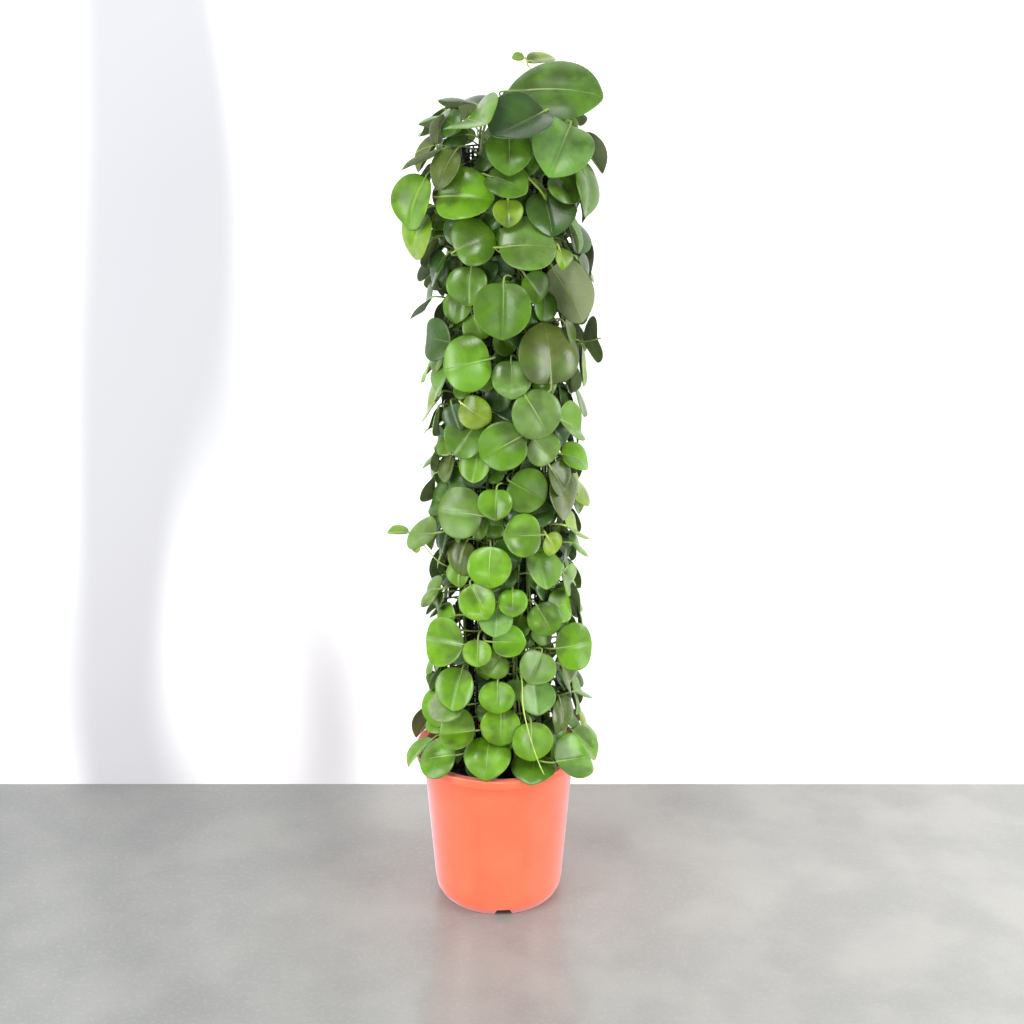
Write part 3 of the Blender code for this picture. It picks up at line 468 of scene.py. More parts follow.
def leaf_face():
    """The waxy upper face of a living leaf: glossy green and clouded, with painted shade as darker, more olive
    patches towards its base, painted light shining through as brighter yellow-green patches, a pale margin line
    that is partly the leaf's own paler edge and partly a painted highlight, and a pale midrib that fades towards
    the tip."""
    made, tree, shader = new_material("waxy_leaf_face", IOR=1.45)
    own = add_node(tree, "ShaderNodeAttribute", attribute_name="leaf_colour")
    midrib, veins, margin, along = blade_pattern(tree)
    clouds = ramped(tree, object_noise(tree, 0.018, 3.0), 0.30, 0.70, 0.0, 0.35)
    body = mix(tree, clouds, own.outputs["Color"], colour("#24400e"))
    # Painted shade: a darker olive tint over patches of noise, more of them towards the base of the blade.
    patches = maths(tree, "MULTIPLY_ADD", along, -0.10, object_noise(tree, 0.034, 2.0))
    body = mix(tree, ramped(tree, patches, 0.46, 0.68, 0.0, 0.60), body, colour("#36461a"))
    # Painted light shining through the leaf: brighter yellow-green patches of noise, stronger the greener the
    # leaf's colour.
    painted_light_through = ramped(tree, object_noise(tree, 0.045, 1.0), 0.46, 0.70, 0.0, 1.6)
    through_light_strength = add_node(tree, "ShaderNodeSeparateColor", {0: own.outputs["Color"]}).outputs[1]
    body = tint(tree, body, painted_light_through, through_light_strength, "#639a12")
    body = tint(tree, body, veins, 0.04, "#8ab24c")
    rib = maths(tree, "MULTIPLY", midrib, ramped(tree, along, -0.3, 0.9, 1.0, 0.25))
    body = tint(tree, body, rib, own.outputs["Alpha"], "#c4dc8c")
    # A pale line along the margin: partly the leaf's own paler edge, partly a painted highlight on its rounded
    # edge.
    body = tint(tree, body, margin, 0.07, "#9cb46a")
    tree.links.new(body, shader.inputs["Base Color"])
    wax = object_noise(tree, 0.030, 2.0)
    tree.links.new(ramped(tree, wax, 0.3, 0.7, 0.22, 0.42), shader.inputs["Roughness"])
    height = maths(tree, "ADD", maths(tree, "MULTIPLY", midrib, -1.0), maths(tree, "MULTIPLY", veins, -0.2))
    bump(tree, shader, height, 0.0004, 0.5)
    return made


def leaf_underside():
    """The matt underside of the leaf: a pale grey olive, with a raised paler midrib."""
    made, tree, shader = new_material("matt_leaf_underside", IOR=1.40)
    own = add_node(tree, "ShaderNodeAttribute", attribute_name="leaf_colour")
    midrib, veins, margin, _ = blade_pattern(tree)
    body = mix(tree, 0.66, own.outputs["Color"], colour("#8f9a72"))
    body = tint(tree, body, veins, 0.10, "#a5b085")
    body = tint(tree, body, midrib, 0.7, "#aebc84")
    # A pale line along the margin: partly the leaf's own paler edge, partly a painted highlight on its rounded
    # edge.
    body = tint(tree, body, margin, 0.08, "#a8b286")
    tree.links.new(body, shader.inputs["Base Color"])
    tree.links.new(ramped(tree, object_noise(tree, 0.010), 0.3, 0.7, 0.50, 0.62), shader.inputs["Roughness"])
    bump(tree, shader, maths(tree, "ADD", midrib, maths(tree, "MULTIPLY", veins, 0.5)), 0.0004, 0.7)
    return made


def green_stem():
    """A living stem or stalk: pale green, a little shiny, with brown patches where it has aged."""
    made, tree, shader = new_material("green_stem", IOR=1.42)
    own = add_node(tree, "ShaderNodeAttribute", attribute_name="leaf_colour")
    aged = ramped(tree, object_noise(tree, 0.022, 4.0), 0.50, 0.72)
    body = tint(tree, own.outputs["Color"], aged, 0.5, "#6b5a38")
    specks = ramped(tree, object_noise(tree, 0.0018, 2.0), 0.64, 0.72)
    body = tint(tree, body, specks, 0.5, "#b7b98a")
    tree.links.new(body, shader.inputs["Base Color"])
    tree.links.new(ramped(tree, aged, 0.0, 1.0, 0.38, 0.60), shader.inputs["Roughness"])
    bump(tree, shader, object_noise(tree, 0.0018, 2.0), 0.0002, 0.4)
    return made


def at(azimuth, out, height, middle=TUBE_X):
    """The point at an azimuth in radians, from the front to the right, and a distance out from an axis."""
    return Vector((middle + out * math.sin(azimuth), -out * math.cos(azimuth), height))


def read_route(rows):
    """The points of a route whose rows are height, distance to the right and distance in front, in mm."""
    return [Vector((TUBE_X + MM * right, -MM * front, MM * height)) for height, right, front in rows]


def deselect():
    bpy.ops.object.select_all(action="DESELECT")


def edit(piece):
    """Goes into edit mode on one piece."""
    deselect()
    piece.select_set(True)
    bpy.context.view_layer.objects.active = piece
    bpy.ops.object.mode_set(mode="EDIT")


def leave_edit():
    bpy.ops.object.mode_set(mode="OBJECT")


def settle(piece, name, *materials):
    """Names a finished piece, gives it its materials and applies its place to its mesh."""
    deselect()
    piece.select_set(True)
    bpy.context.view_layer.objects.active = piece
    bpy.ops.object.transform_apply(location=True, rotation=True, scale=True)
    piece.name = name
    piece.data.name = name
    for finish in materials:
        piece.data.materials.append(finish)
    return piece


def apply_modifier(piece, kind, **settings):
    modifier = piece.modifiers.new(kind.title(), kind)
    for name, value in settings.items():
        setattr(modifier, name, value)
    bpy.context.view_layer.objects.active = piece
    bpy.ops.object.modifier_apply(modifier=modifier.name)


def join(pieces, name):
    """Joins pieces into the first of them."""
    deselect()
    for piece in pieces:
        piece.select_set(True)
    bpy.context.view_layer.objects.active = pieces[0]
    bpy.ops.object.join()
    pieces[0].name = name
    pieces[0].data.name = name
    return pieces[0]


def draw_rings(rings, sides, cap=True):
    """A turned skin: a circle, extruded and resized from ring to ring of (radius, height)."""
    (radius, height), *others = rings
    deselect()
    bpy.ops.mesh.primitive_circle_add(vertices=sides, radius=radius, location=(0.0, 0.0, height),
                                      fill_type="NGON" if cap else "NOTHING")
    piece = bpy.context.object
    bpy.ops.object.transform_apply(location=True)
    edit(piece)
    bpy.ops.mesh.select_mode(type="EDGE")
    bpy.ops.mesh.select_all(action="SELECT")
    if cap:
        bpy.ops.mesh.region_to_loop()
    for next_radius, next_height in others:
        bpy.ops.mesh.extrude_region_move(TRANSFORM_OT_translate={"value": (0.0, 0.0, next_height - height)})
        share = next_radius / radius
        bpy.ops.transform.resize(value=(share, share, 1.0), center_override=(0.0, 0.0, next_height))
        radius, height = next_radius, next_height
    if cap:
        bpy.ops.mesh.edge_face_add()
        bpy.ops.mesh.select_all(action="SELECT")
        bpy.ops.mesh.normals_make_consistent(inside=False)
    leave_edit()
    return piece


def round_ring(piece, radius, height, width, segments=3):
    """Rounds the ring of edges that lies at a radius and a height."""
    edit(piece)
    bpy.ops.mesh.select_mode(type="EDGE")
    bpy.ops.mesh.select_all(action="DESELECT")
    shape = bmesh.from_edit_mesh(piece.data)
    for edge in shape.edges:
        ends = [corner.co for corner in edge.verts]
        edge.select = all(abs(math.hypot(end.x, end.y) - radius) < GAP and abs(end.z - height) < GAP
                          for end in ends)
    bmesh.update_edit_mesh(piece.data)
    bpy.ops.mesh.bevel(offset=width, segments=segments, affect="EDGES")
    leave_edit()


def inside_radius(height):
    """Radius of the pot's inside wall at a height."""
    low = FLOOR_TOP + INSIDE_CORNER
    high = POT_HEIGHT - RIM_DROP
    low_radius = WALL_FOOT_RADIUS - WALL_THICKNESS
    high_radius = RIM_RADIUS - RIM_WIDTH - RIM_TAPER
    return low_radius + (height - low) / (high - low) * (high_radius - low_radius)


def make_pot():
    """The pot's floor, wall, rim and foot drawn in one skin, rounded, then cut by its notches and holes."""
    rim_bottom = POT_HEIGHT - RIM_DROP
    corner = FLOOR_TOP + INSIDE_CORNER
    ring_inner = FOOT_RADIUS - FOOT_RING_WIDTH
    small = FOOT_RADIUS / 6
    rings = [
        (small, FLOOR_TOP),
        (FOOT_RADIUS, FLOOR_TOP),
        (inside_radius(corner), corner),
        (inside_radius(rim_bottom), rim_bottom),
        (RIM_RADIUS - RIM_WIDTH, POT_HEIGHT),
        (RIM_RADIUS, POT_HEIGHT),
        (RIM_RADIUS - RIM_TAPER, rim_bottom),
        (WALL_TOP_RADIUS, rim_bottom),
        (WALL_FOOT_RADIUS, WALL_FOOT_HEIGHT),
        (WALL_FOOT_RADIUS - FOOT_STEP_DEPTH, FOOT_STEP_HEIGHT),
        (FOOT_RADIUS + FOOT_ROUNDING, FOOT_ROUNDING),
        (FOOT_RADIUS, 0.0),
        (ring_inner, 0.0),
        (ring_inner, FLOOR_UNDERSIDE),
        (small, FLOOR_UNDERSIDE),
    ]
    pot = draw_rings(rings, POT_SIDES)
    round_ring(pot, RIM_RADIUS, POT_HEIGHT, RIM_ROUNDING, 5)
    round_ring(pot, RIM_RADIUS - RIM_WIDTH, POT_HEIGHT, RIM_ROUNDING, 4)
    round_ring(pot, RIM_RADIUS - RIM_TAPER, rim_bottom, SMALL_ROUNDING, 3)
    round_ring(pot, WALL_TOP_RADIUS, rim_bottom, SMALL_ROUNDING, 3)
    round_ring(pot, WALL_FOOT_RADIUS, WALL_FOOT_HEIGHT, 4 * SMALL_ROUNDING, 4)
    round_ring(pot, WALL_FOOT_RADIUS - FOOT_STEP_DEPTH, FOOT_STEP_HEIGHT, SMALL_ROUNDING, 2)
    cutters = [foot_notch(index) for index in range(NOTCH_COUNT)]
    cutters += [drain_hole(index) for index in range(HOLE_COUNT)]
    cutter = join(cutters, "pot_cutters")
    apply_modifier(pot, "BOOLEAN", operation="DIFFERENCE", object=cutter, solver="EXACT")
    bpy.data.objects.remove(cutter, do_unlink=True)
    settle(pot, "nursery_pot", moulded_polypropylene())
    bpy.ops.object.shade_smooth_by_angle(angle=math.radians(32.0))
    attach(pot, BODY)
    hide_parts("pot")
    return pot


def foot_notch(index):
    """A wedge, wider at the floor, through the foot ring."""
    bpy.ops.mesh.primitive_cube_add(size=1.0)
    wedge = bpy.context.object
    for corner in wedge.data.vertices:
        top = corner.co.z > 0.0
        wide = NOTCH_TOP_WIDTH if top else NOTCH_BOTTOM_WIDTH
        height = NOTCH_HEIGHT if top else -CUT_PAST
        corner.co = (corner.co.x * wide, corner.co.y * NOTCH_DEPTH, height)
    turn = math.radians(NOTCH_TURN + 360.0 / NOTCH_COUNT * index)
    wedge.location = at(turn, NOTCH_RING_RADIUS, 0.0, 0.0)
    wedge.rotation_euler = (0.0, 0.0, turn)
    return wedge


def drain_hole(index):
    turn = math.radians(360.0 / HOLE_COUNT * (index + 0.5))
    middle = (FLOOR_TOP + FLOOR_UNDERSIDE) / 2
    bpy.ops.mesh.primitive_cylinder_add(
        vertices=24, radius=HOLE_RADIUS, depth=FLOOR_TOP - FLOOR_UNDERSIDE + 2 * CUT_PAST,
        location=(HOLE_RING_RADIUS * math.sin(turn), -HOLE_RING_RADIUS * math.cos(turn), middle))
    return bpy.context.object


def soil_height(radius):
    """The soil's height at a distance from the pot's middle."""
    share = min(1.0, radius / inside_radius(SOIL_TOP))
    return SOIL_TOP + SOIL_MOUND * (1.0 - share * share) - SOIL_EDGE_DROP * share


def lump(point):
    """How far the soil's skin stands out at a point: coarse lumps with finer ones on them."""
    fine = FINE_LUMP_SHARE * noise.noise(point * FINE_LUMPS_PER_METRE)
    return SOIL_LUMP * (noise.noise(point * LUMPS_PER_METRE) + fine) / (1.0 + FINE_LUMP_SHARE)


def make_soil():
    """The soil's lumpy top, closed below, with crumbs of bark and peat pressed into it."""
    edge = inside_radius(SOIL_TOP - SOIL_EDGE_DROP) - 2 * GAP
    bottom = SOIL_TOP - SOIL_GROOVE_DEPTH
    radii = [edge * (step + 0.5) / SOIL_RINGS for step in range(SOIL_RINGS)] + [edge]
    rings = [(radius, soil_height(radius)) for radius in radii] + [(inside_radius(bottom) - 2 * GAP, bottom)]
    soil = draw_rings(rings, SOIL_SIDES)
    for corner in soil.data.vertices:
        out = math.hypot(corner.co.x, corner.co.y)
        if corner.co.z > bottom + GAP and out < edge - GAP:
            corner.co.z += lump(corner.co)
    draw = random.Random(SEED)
    bpy.ops.mesh.primitive_ico_sphere_add(subdivisions=1, radius=1.0)
    model = bpy.context.object
    crumbs = []
    for _ in range(CRUMBS):
        crumb = copy_of(model)
        out = (edge - CRUMB_EDGE) * math.sqrt(draw.random())
        place = at(draw.uniform(0.0, 2 * math.pi), out, soil_height(out), 0.0)
        place.z += lump(place) + CRUMB_RISE
        size = draw.uniform(*CRUMB_SIZES) * MM
        crumb.scale = (size * draw.uniform(*CRUMB_LENGTHS), size, size * draw.uniform(*CRUMB_HEIGHTS))
        crumb.location = place
        crumb.rotation_euler = [draw.uniform(0.0, math.pi) for _ in range(3)]
        crumbs.append(crumb)
    bpy.data.objects.remove(model, do_unlink=True)
    join([soil, *crumbs], "potting_soil")
    settle(soil, "potting_soil", peat())
    bpy.ops.object.shade_smooth_by_angle(angle=math.radians(50.0))
    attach(soil, BODY)
    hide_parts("soil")
    return soil


def make_netting():
    """Netting bent to a tube: a grid drawn up row by row, its edges thickened to strands."""
    bottom = SOIL_TOP - SOIL_GROOVE_DEPTH + STRAND
    rise_by = (TUBE_TOP - bottom) / NET_ROWS
    rings = [(TUBE_RADIUS, bottom + rise_by * row) for row in range(NET_ROWS + 1)]
    net = draw_rings(rings, NET_COLUMNS, cap=False)
    apply_modifier(net, "WIREFRAME", thickness=NET_STRAND, use_even_offset=False, use_boundary=True,
                   use_replace=True)
    net.location.x = TUBE_X
    settle(net, "netting_support", black_polyethylene())
    bpy.ops.object.shade_smooth_by_angle(angle=math.radians(50.0))
    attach(net, BODY)
    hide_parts("netting_tube")
    return net


def vine_route(index):
    """Points up one vine: out of its soil hole, up close to the tube, then over towards its middle."""
    start = SOIL_TOP - 0.75 * SOIL_GROOVE_DEPTH
    bend = TUBE_TOP + 2 * VINE_RADIUS
    heights = [start + (bend - start) * step / VINE_STEPS for step in range(VINE_STEPS + 1)]
    points = []
    for height in heights + [VINE_TOPS[index]]:
        sway = VINE_SWAY * math.sin(VINE_SWAYS_PER_METRE * height + VINE_SWAY_OFFSET * index)
        sway *= min(1.0, (height - start) / VINE_SWAY_FROM)
        azimuth = math.radians(FIRST_VINE + 360.0 / VINE_COUNT * index + sway)
        ring = VINE_RING_RADIUS + VINE_WAVE * math.sin(VINE_WAVES_PER_METRE * height + index)
        ring -= VINE_LEAN_IN * max(0.0, height - bend)
        points.append(at(azimuth, ring, height))
    return points


def on_route(route, height):
    """The point of a rising route at a height, a little below its end at most."""
    height = min(max(height, route[1].z), route[-1].z - VINE_RADIUS)
    for low, high in zip(route, route[1:]):
        if low.z <= height <= high.z:
            return low.lerp(high, (height - low.z) / (high.z - low.z))
    return route[-1]


def shoot_leaf(row):
    """A leaf on a shoot, with its vine and its root. It stays as it is, and the others bend clear of it."""
    shoot, knot, height, right, front, wide, *lie = row
    azimuth = math.degrees(math.atan2(right, front))
    out = MM * math.hypot(right, front)
    leaf = Leaf(MM * height, azimuth, out, MM * wide, *lie, *SHOOT_LEAF_FORM, USUAL_DROP, "young")
    return grown(leaf, SHOOTS[shoot][0], shoot_route(shoot)[knot])


def shoot_route(index):
    """A shoot's points, the first of them on its vine."""
    vine, rows = SHOOTS[index]
    points = read_route(rows)
    points[0] = on_route(vine_route(vine), points[0].z)
    return points


def flat_leaf(corners, steps):
    """A flat leaf: a fan-capped circle, thickened, with the wall at its base drawn out in steps into a
    stalk. Returns each corner's place on the leaf, and the triangles."""
    flat = bmesh.new()
    bmesh.ops.create_circle(flat, cap_ends=True, cap_tris=True, segments=corners, radius=1.0)
    bmesh.ops.solidify(flat, geom=flat.faces[:], thickness=0.1)
    base = min(flat.faces, key=lambda face: face.calc_center_median().y)
    for _ in range(steps):
        base = bmesh.ops.extrude_discrete_faces(flat, faces=[base])["faces"][0]
        bmesh.ops.translate(flat, verts=base.verts, vec=(0.0, -1.0, 0.0))
    bmesh.ops.triangulate(flat, faces=flat.faces)
    places = [leaf_place(corner.co, corners) for corner in flat.verts]
    triangles = [tuple(corner.index for corner in face.verts) for face in flat.faces]
    flat.free()
    return places, triangles


def leaf_place(point, corners):
    """Where a corner of the flat leaf lies: its step down the stalk, then how far round and out it is on
    the blade or its side of the stalk, then the upper or lower face."""
    face = 1.0 if point.z > -0.05 else -1.0
    step = round(-0.9 - point.y)
    if step > 0:
        return step, math.copysign(1.0, point.x), 0.0, face
    if math.hypot(point.x, point.y) < 0.5:
        return 0, 0.0, 0.0, face
    around = math.atan2(point.x, point.y) / (math.pi - math.pi / corners)
    return 0, around, 1.0, face


def outline(leaf, around):
    """A point of the blade's outline, across and along, at a share of the way from its tip to its base."""
    angle = math.pi * around
    swell = 1.0 + TIP_POINT * math.exp(-(angle / TIP_WIDTH) ** 2)
    swell -= leaf.notch * math.exp(-((math.pi - abs(angle)) / NOTCH_WIDTH) ** 2)
    radius = BLADE_SCALE * leaf.wide / 2 * swell
    return radius * math.sin(angle), leaf.long * radius * math.cos(angle)


def rise(leaf, across, along):
    """How far the blade stands out of its plane: folded along the midrib, cupped, and curled at the tip."""
    bend = leaf.cup * (across ** 2 + along ** 2) - leaf.curl * max(0.0, along) ** 2
    return leaf.fold * abs(across) + 2.0 * bend / leaf.wide


def blade_frame(leaf):
    """The blade's middle, and the directions across it, to its tip and out of its upper face."""
    azimuth = math.radians(leaf.azimuth)
    face = math.radians(leaf.face)
    nod = math.radians(leaf.nod)
    clock = math.radians(30.0 * leaf.clock)
    middle = at(azimuth, leaf.out, leaf.height)
    normal = Vector((math.sin(face) * math.cos(nod), -math.cos(face) * math.cos(nod), math.sin(nod)))
    level = Vector((math.cos(face), math.sin(face), 0.0))
    tip = normal.cross(level) * math.cos(clock) + level * math.sin(clock)
    return middle, tip.cross(normal), tip, normal


def stalk_base(leaf):
    middle, _, tip, normal = blade_frame(leaf)
    along = outline(leaf, 1.0)[1]
    return middle + tip * along + normal * rise(leaf, 0.0, along)


def shape_leaf(leaf, root, places, grow=0.0):
    """The corners of a leaf that grows from a root point, each face set out by grow."""
    middle, side, tip, normal = blade_frame(leaf)
    base = stalk_base(leaf)
    reach = (root - base).length
    lead = base - tip * (STALK_LEAD * reach)
    rings = [stalk_ring(root, root - lead, side, normal, tip)]
    if max(step for step, *_ in places) == 2:
        rings.insert(0, stalk_ring(base * 0.25 + lead * 0.5 + root * 0.25, root - base, side, normal, tip))
    half = BLADE_THICKNESS / 2 + grow
    corners = []
    for step, around, out, face in places:
        if step:
            centre, wide, thick = rings[step - 1]
            width = STALK_ROOT_WIDTH / 2 + grow
            corners.append(centre + wide * (around * width) + thick * (face * width))
            continue
        across, along = outline(leaf, around) if out else (0.0, 0.0)
        height = rise(leaf, across, along)
        if out and abs(around) > 0.99:
            across = math.copysign(STALK_WIDTH / 2 + grow, around)
        corners.append(middle + side * across + tip * along + normal * (height + face * half))
    return corners


def stalk_ring(centre, heading, side, normal, tip):
    """A stalk's section: its centre, and the leaf's own directions turned to its heading."""
    turn = (-tip).rotation_difference(heading)
    return centre, turn @ side, turn @ normal


def nearest_root(leaf, vines):
    """The vine that a leaf grows from, and the point on it."""
    base = stalk_base(leaf)
    choices = []
    for index, route in enumerate(vines):
        root = on_route(route, base.z - leaf.drop)
        choices.append(((root - base).length, index, root))
    _, index, root = min(choices, key=lambda choice: choice[:2])
    return index, root


def ways_to_bend():
    """Small changes that bend a leaf clear of its neighbours, the least first."""
    changes = []
    for up, out, nod, face, width, drop in itertools.product(UPS, OUTS, NODS, FACES, WIDTHS, DROPS):
        cost = abs(up) / 4 + abs(out) / 5 + abs(nod) / 8 + abs(face) / 12
        cost += (1.0 - width) * 18 + abs(drop - DROPS[0]) / 20
        changes.append((cost, up, out, nod, face, width, drop))
    return sorted(changes)[:WAYS_TRIED]


def crosses_itself(tree, triangles):
    for one, other in tree.overlap(tree):
        if one < other and not set(triangles[one]) & set(triangles[other]):
            return True
    return False


def place_leaf(leaf, vines, walls, stems, placed, ways):
    """Bends a leaf until it is clear of all that is there. Returns None if nothing helps."""
    places, triangles = flat_shape(leaf)
    here = blade_frame(leaf)[0]
    near = [other for other in placed if (other.middle - here).length < other.reach + 2 * leaf.wide]
    for _, up, out, nod, face, width, drop in ways:
        trial = leaf._replace(height=leaf.height + MM * up, out=leaf.out + MM * out, nod=leaf.nod + nod,
                              face=leaf.face + face, wide=leaf.wide * width, drop=MM * drop)
        vine, root = nearest_root(trial, vines)
        tree = BVHTree.FromPolygons(shape_leaf(trial, root, places, CLEARANCE), triangles)
        if any(tree.overlap(wall) for wall in walls):
            continue
        if any(tree.overlap(stem) for index, stem in enumerate(stems) if index != vine):
            continue
        if any(tree.overlap(other.tree) for other in near):
            continue
        if crosses_itself(tree, triangles):
            continue
        return grown(trial, vine, root)
    return None


def grown(leaf, vine, root):
    """A leaf at its final place."""
    places, triangles = flat_shape(leaf)
    corners = shape_leaf(leaf, root, places)
    middle = blade_frame(leaf)[0]
    reach = max((corner - middle).length for corner in corners)
    return Placed(leaf, vine, root, BVHTree.FromPolygons(corners, triangles), middle, reach)


def flat_shape(leaf):
    """The flat leaf that suits a leaf: more corners on a wide blade, and a bent stalk on a far one."""
    corners = 7 if leaf.wide < SMALL_WIDTH else 9 if leaf.wide < LARGE_WIDTH else 11
    return FLAT_LEAVES[corners, 1 if leaf.out < STRAIGHT_STALK_OUT else 2]


def form(draw):
    """Fold, cup, curl, length and notch of one leaf."""
    return [draw.uniform(*span) for span in FORM_SPANS]


def front_leaves(draw):
    """The leaves read from the front view, in the order in which they are placed."""
    leaves = []
    for height, right, out, wide, face, nod, clock, tone in FRONT_LEAVES:
        azimuth = math.degrees(math.asin(right / out))
        drawn = form(draw)
        shape = BROAD_LEAF_FORM if wide > BROAD_FROM else drawn
        leaves.append(Leaf(MM * height, azimuth, MM * out, MM * wide, face, nod, clock, *shape,
                           USUAL_DROP, tone))
    return sorted(leaves, key=turn_to_grow)


def turn_to_grow(leaf):
    """The topmost leaves come first, the widest before the others, and then the rest from the outside in."""
    if leaf.height > TOPMOST:
        return 0, -leaf.wide
    return 1, -leaf.out


class Gaps:
    """The column's surface laid out flat in small spots, with how far each is from the nearest blade."""

    def __init__(self):
        around = np.arange(-180.0, 180.0, SPOT_TURN)
        up = np.arange(LOWEST_FILLING, HIGHEST_FILLING, SPOT_SIZE)
        self.azimuth, self.height = (spots.ravel() for spots in np.meshgrid(around, up))
        self.clear = np.full(self.azimuth.shape, 1.0)

    def distance(self, azimuth, height):
        turn = np.abs((self.azimuth - azimuth + 180.0) % 360.0 - 180.0)
        across = turn * (math.pi / 180.0 * UNROLL_RADIUS)
        return np.sqrt(across * across + (self.height - height) * (self.height - height))

    def cover(self, leaf, share=0.5):
        """Counts a leaf's blade as there."""
        distance = self.distance(leaf.azimuth, leaf.height) - leaf.wide * share
        self.clear = np.minimum(self.clear, distance)

    def block(self, azimuth, height):
        """Gives up on the spots round a place where no leaf fits."""
        self.clear[self.distance(azimuth, height) < 1.3 * SPOT_SIZE] = -SPOT_SIZE

    def widest(self):
        spot = int(np.argmax(self.clear))
        return float(self.azimuth[spot]), float(self.height[spot]), float(self.clear[spot])


def column_radius(height):
    """How far out the outer leaves hang: the column is slimmest in the middle."""
    above = max(0.0, height - TOP_FLARE_FROM) / TOP_FLARE_OVER
    below = max(0.0, FOOT_FLARE_FROM - height) / FOOT_FLARE_OVER
    return COLUMN_RADIUS + TOP_FLARE * min(1.0, above) + FOOT_FLARE * min(1.0, below)


def filling_share(height):
    """How far up the column of filling leaves a height is, from 0 to 1."""
    return (height - LOWEST_FILLING) / (HIGHEST_FILLING - LOWEST_FILLING)


def filling_leaf(azimuth, height, clear, draw):
    """A leaf for a gap: outside where the gap is wide, and deeper in where it is small."""
    share = filling_share(height)
    if clear < SMALL_GAP:
        wide = MM * (38.0 + 8.0 * share + draw.uniform(-4.0, 6.0))
        out = column_radius(height) + MM * (-12.0 + draw.uniform(-7.0, 8.0))
    else:
        wide = MM * (45.0 + 14.0 * share + draw.uniform(-7.0, 13.0))
        out = column_radius(height) + MM * draw.uniform(-7.0, 8.0)
    nod = draw.uniform(6.0, 32.0)
    if height < LOWEST_FILLING + LOW_RING:
        out += MM * 14.0
        nod += 14.0
    crown = max(0.0, height - CROWN_HEIGHT) / (HIGHEST_FILLING - CROWN_HEIGHT)
    out -= MM * 30.0 * crown
    nod += 38.0 * crown
    face = azimuth + draw.uniform(-22.0, 22.0)
    clock = 6.0 + draw.uniform(-2.6, 2.6)
    return Leaf(height, azimuth, out, wide, face, nod, clock, *form(draw), USUAL_DROP, "filling")


def inner_leaf(azimuth, height, _, draw):
    """A small young leaf close to the stems, a little further out at the sides."""
    wide = MM * draw.uniform(*INNER_WIDTHS)
    aside = abs(math.sin(math.radians(azimuth)))
    out = VINE_RING_RADIUS + MM * (draw.uniform(*INNER_OUT) + INNER_ASIDE * aside)
    face = azimuth + draw.uniform(*INNER_TURN)
    clock = 6.0 + draw.uniform(*INNER_HOURS)
    nod = draw.uniform(*INNER_NODS)
    return Leaf(height, azimuth, out, wide, face, nod, clock, *form(draw), USUAL_DROP, "inner")


def inside_growth(vines):
    """Leaves inside the tube, each a turn on from the one below, which close the view through the netting."""
    draw = random.Random(INNER_SEED)
    grown_in = []
    for step in range(int((INSIDE_LAST - INSIDE_FIRST) / INSIDE_SPACING)):
        height = INSIDE_FIRST + INSIDE_SPACING * step
        azimuth = INSIDE_TURN * step % 360.0
        wide = MM * draw.uniform(*INSIDE_WIDTHS)
        out = TUBE_RADIUS - wide / 2 - MM * draw.uniform(*INSIDE_GAPS)
        face = azimuth + draw.uniform(*INSIDE_FACES)
        nod = draw.uniform(*INSIDE_NODS)
        clock = draw.uniform(*INSIDE_HOURS)
        leaf = Leaf(height, azimuth, out, wide, face, nod, clock, *form(draw), USUAL_DROP, "inner")
        vine, root = nearest_root(leaf, vines)
        grown_in.append(grown(leaf, vine, root))
    return grown_in


def wall_of_rings(points, sides):
    """The faces between rings of points, as a wall that leaves keep clear of."""
    faces = []
    for low in range(0, len(points) - sides, sides):
        for step in range(sides):
            after = (step + 1) % sides
            faces.append((low + step, low + after, low + sides + after, low + sides + step))
    return BVHTree.FromPolygons(points, faces)


def turned_wall(profile, middle, sides=36):
    """A profile turned about an upright axis."""
    turns = [2 * math.pi * step / sides for step in range(sides)]
    return wall_of_rings([at(turn, radius, height, middle) for radius, height in profile for turn in turns], sides)


def stem_wall(route, radius):
    """Four flat sides round a route."""
    corners = [Vector((x * radius, y * radius, 0.0)) for x, y in ((1, 0), (0, 1), (-1, 0), (0, -1))]
    return wall_of_rings([point + corner for point in route for corner in corners], len(corners))


def walls_to_clear():
    """The pot's rim, the soil and the tube."""
    lip = RIM_RADIUS - RIM_WIDTH
    tube_side = TUBE_RADIUS + STRAND
    tube_end = TUBE_TOP + STRAND
    rim = [(lip, SOIL_TOP), (lip, POT_HEIGHT), (RIM_RADIUS, POT_HEIGHT), (RIM_RADIUS, POT_HEIGHT / 2)]
    soil = [(MM, SOIL_TOP + SOIL_MOUND), (lip, SOIL_TOP + GAP)]
    tube = [(tube_side, SOIL_TOP), (tube_side, tube_end), (MM, tube_end)]
    return [turned_wall(rim, 0.0), turned_wall(soil, 0.0), turned_wall(tube, TUBE_X)]


def place_leaves(vines, shoots):
    """All the leaves: those on the shoots, those of the front, then what fills the gaps, then inner ones."""
    draw = random.Random(SEED)
    walls = walls_to_clear() + [stem_wall(route, SHOOT_RADIUS) for route in shoots]
    around = (vines, walls, [stem_wall(route, VINE_RADIUS) for route in vines])
    placed = [shoot_leaf(row) for row in SHOOT_LEAVES]
    gaps = Gaps()
    for leaf in front_leaves(draw):
        found = place_leaf(leaf, *around, placed, WAYS)
        if found:
            placed.append(found)
            gaps.cover(found.leaf)
    fill_gaps(gaps, FILLING_LEAVES, filling_leaf, draw, around, placed, WAYS)
    gaps = Gaps()
    for found in placed:
        gaps.cover(found.leaf, INNER_COVER)
    fill_gaps(gaps, INNER_LEAVES, inner_leaf, random.Random(INNER_SEED), around, placed, WAYS[:INNER_WAYS])
    return placed + inside_growth(vines)


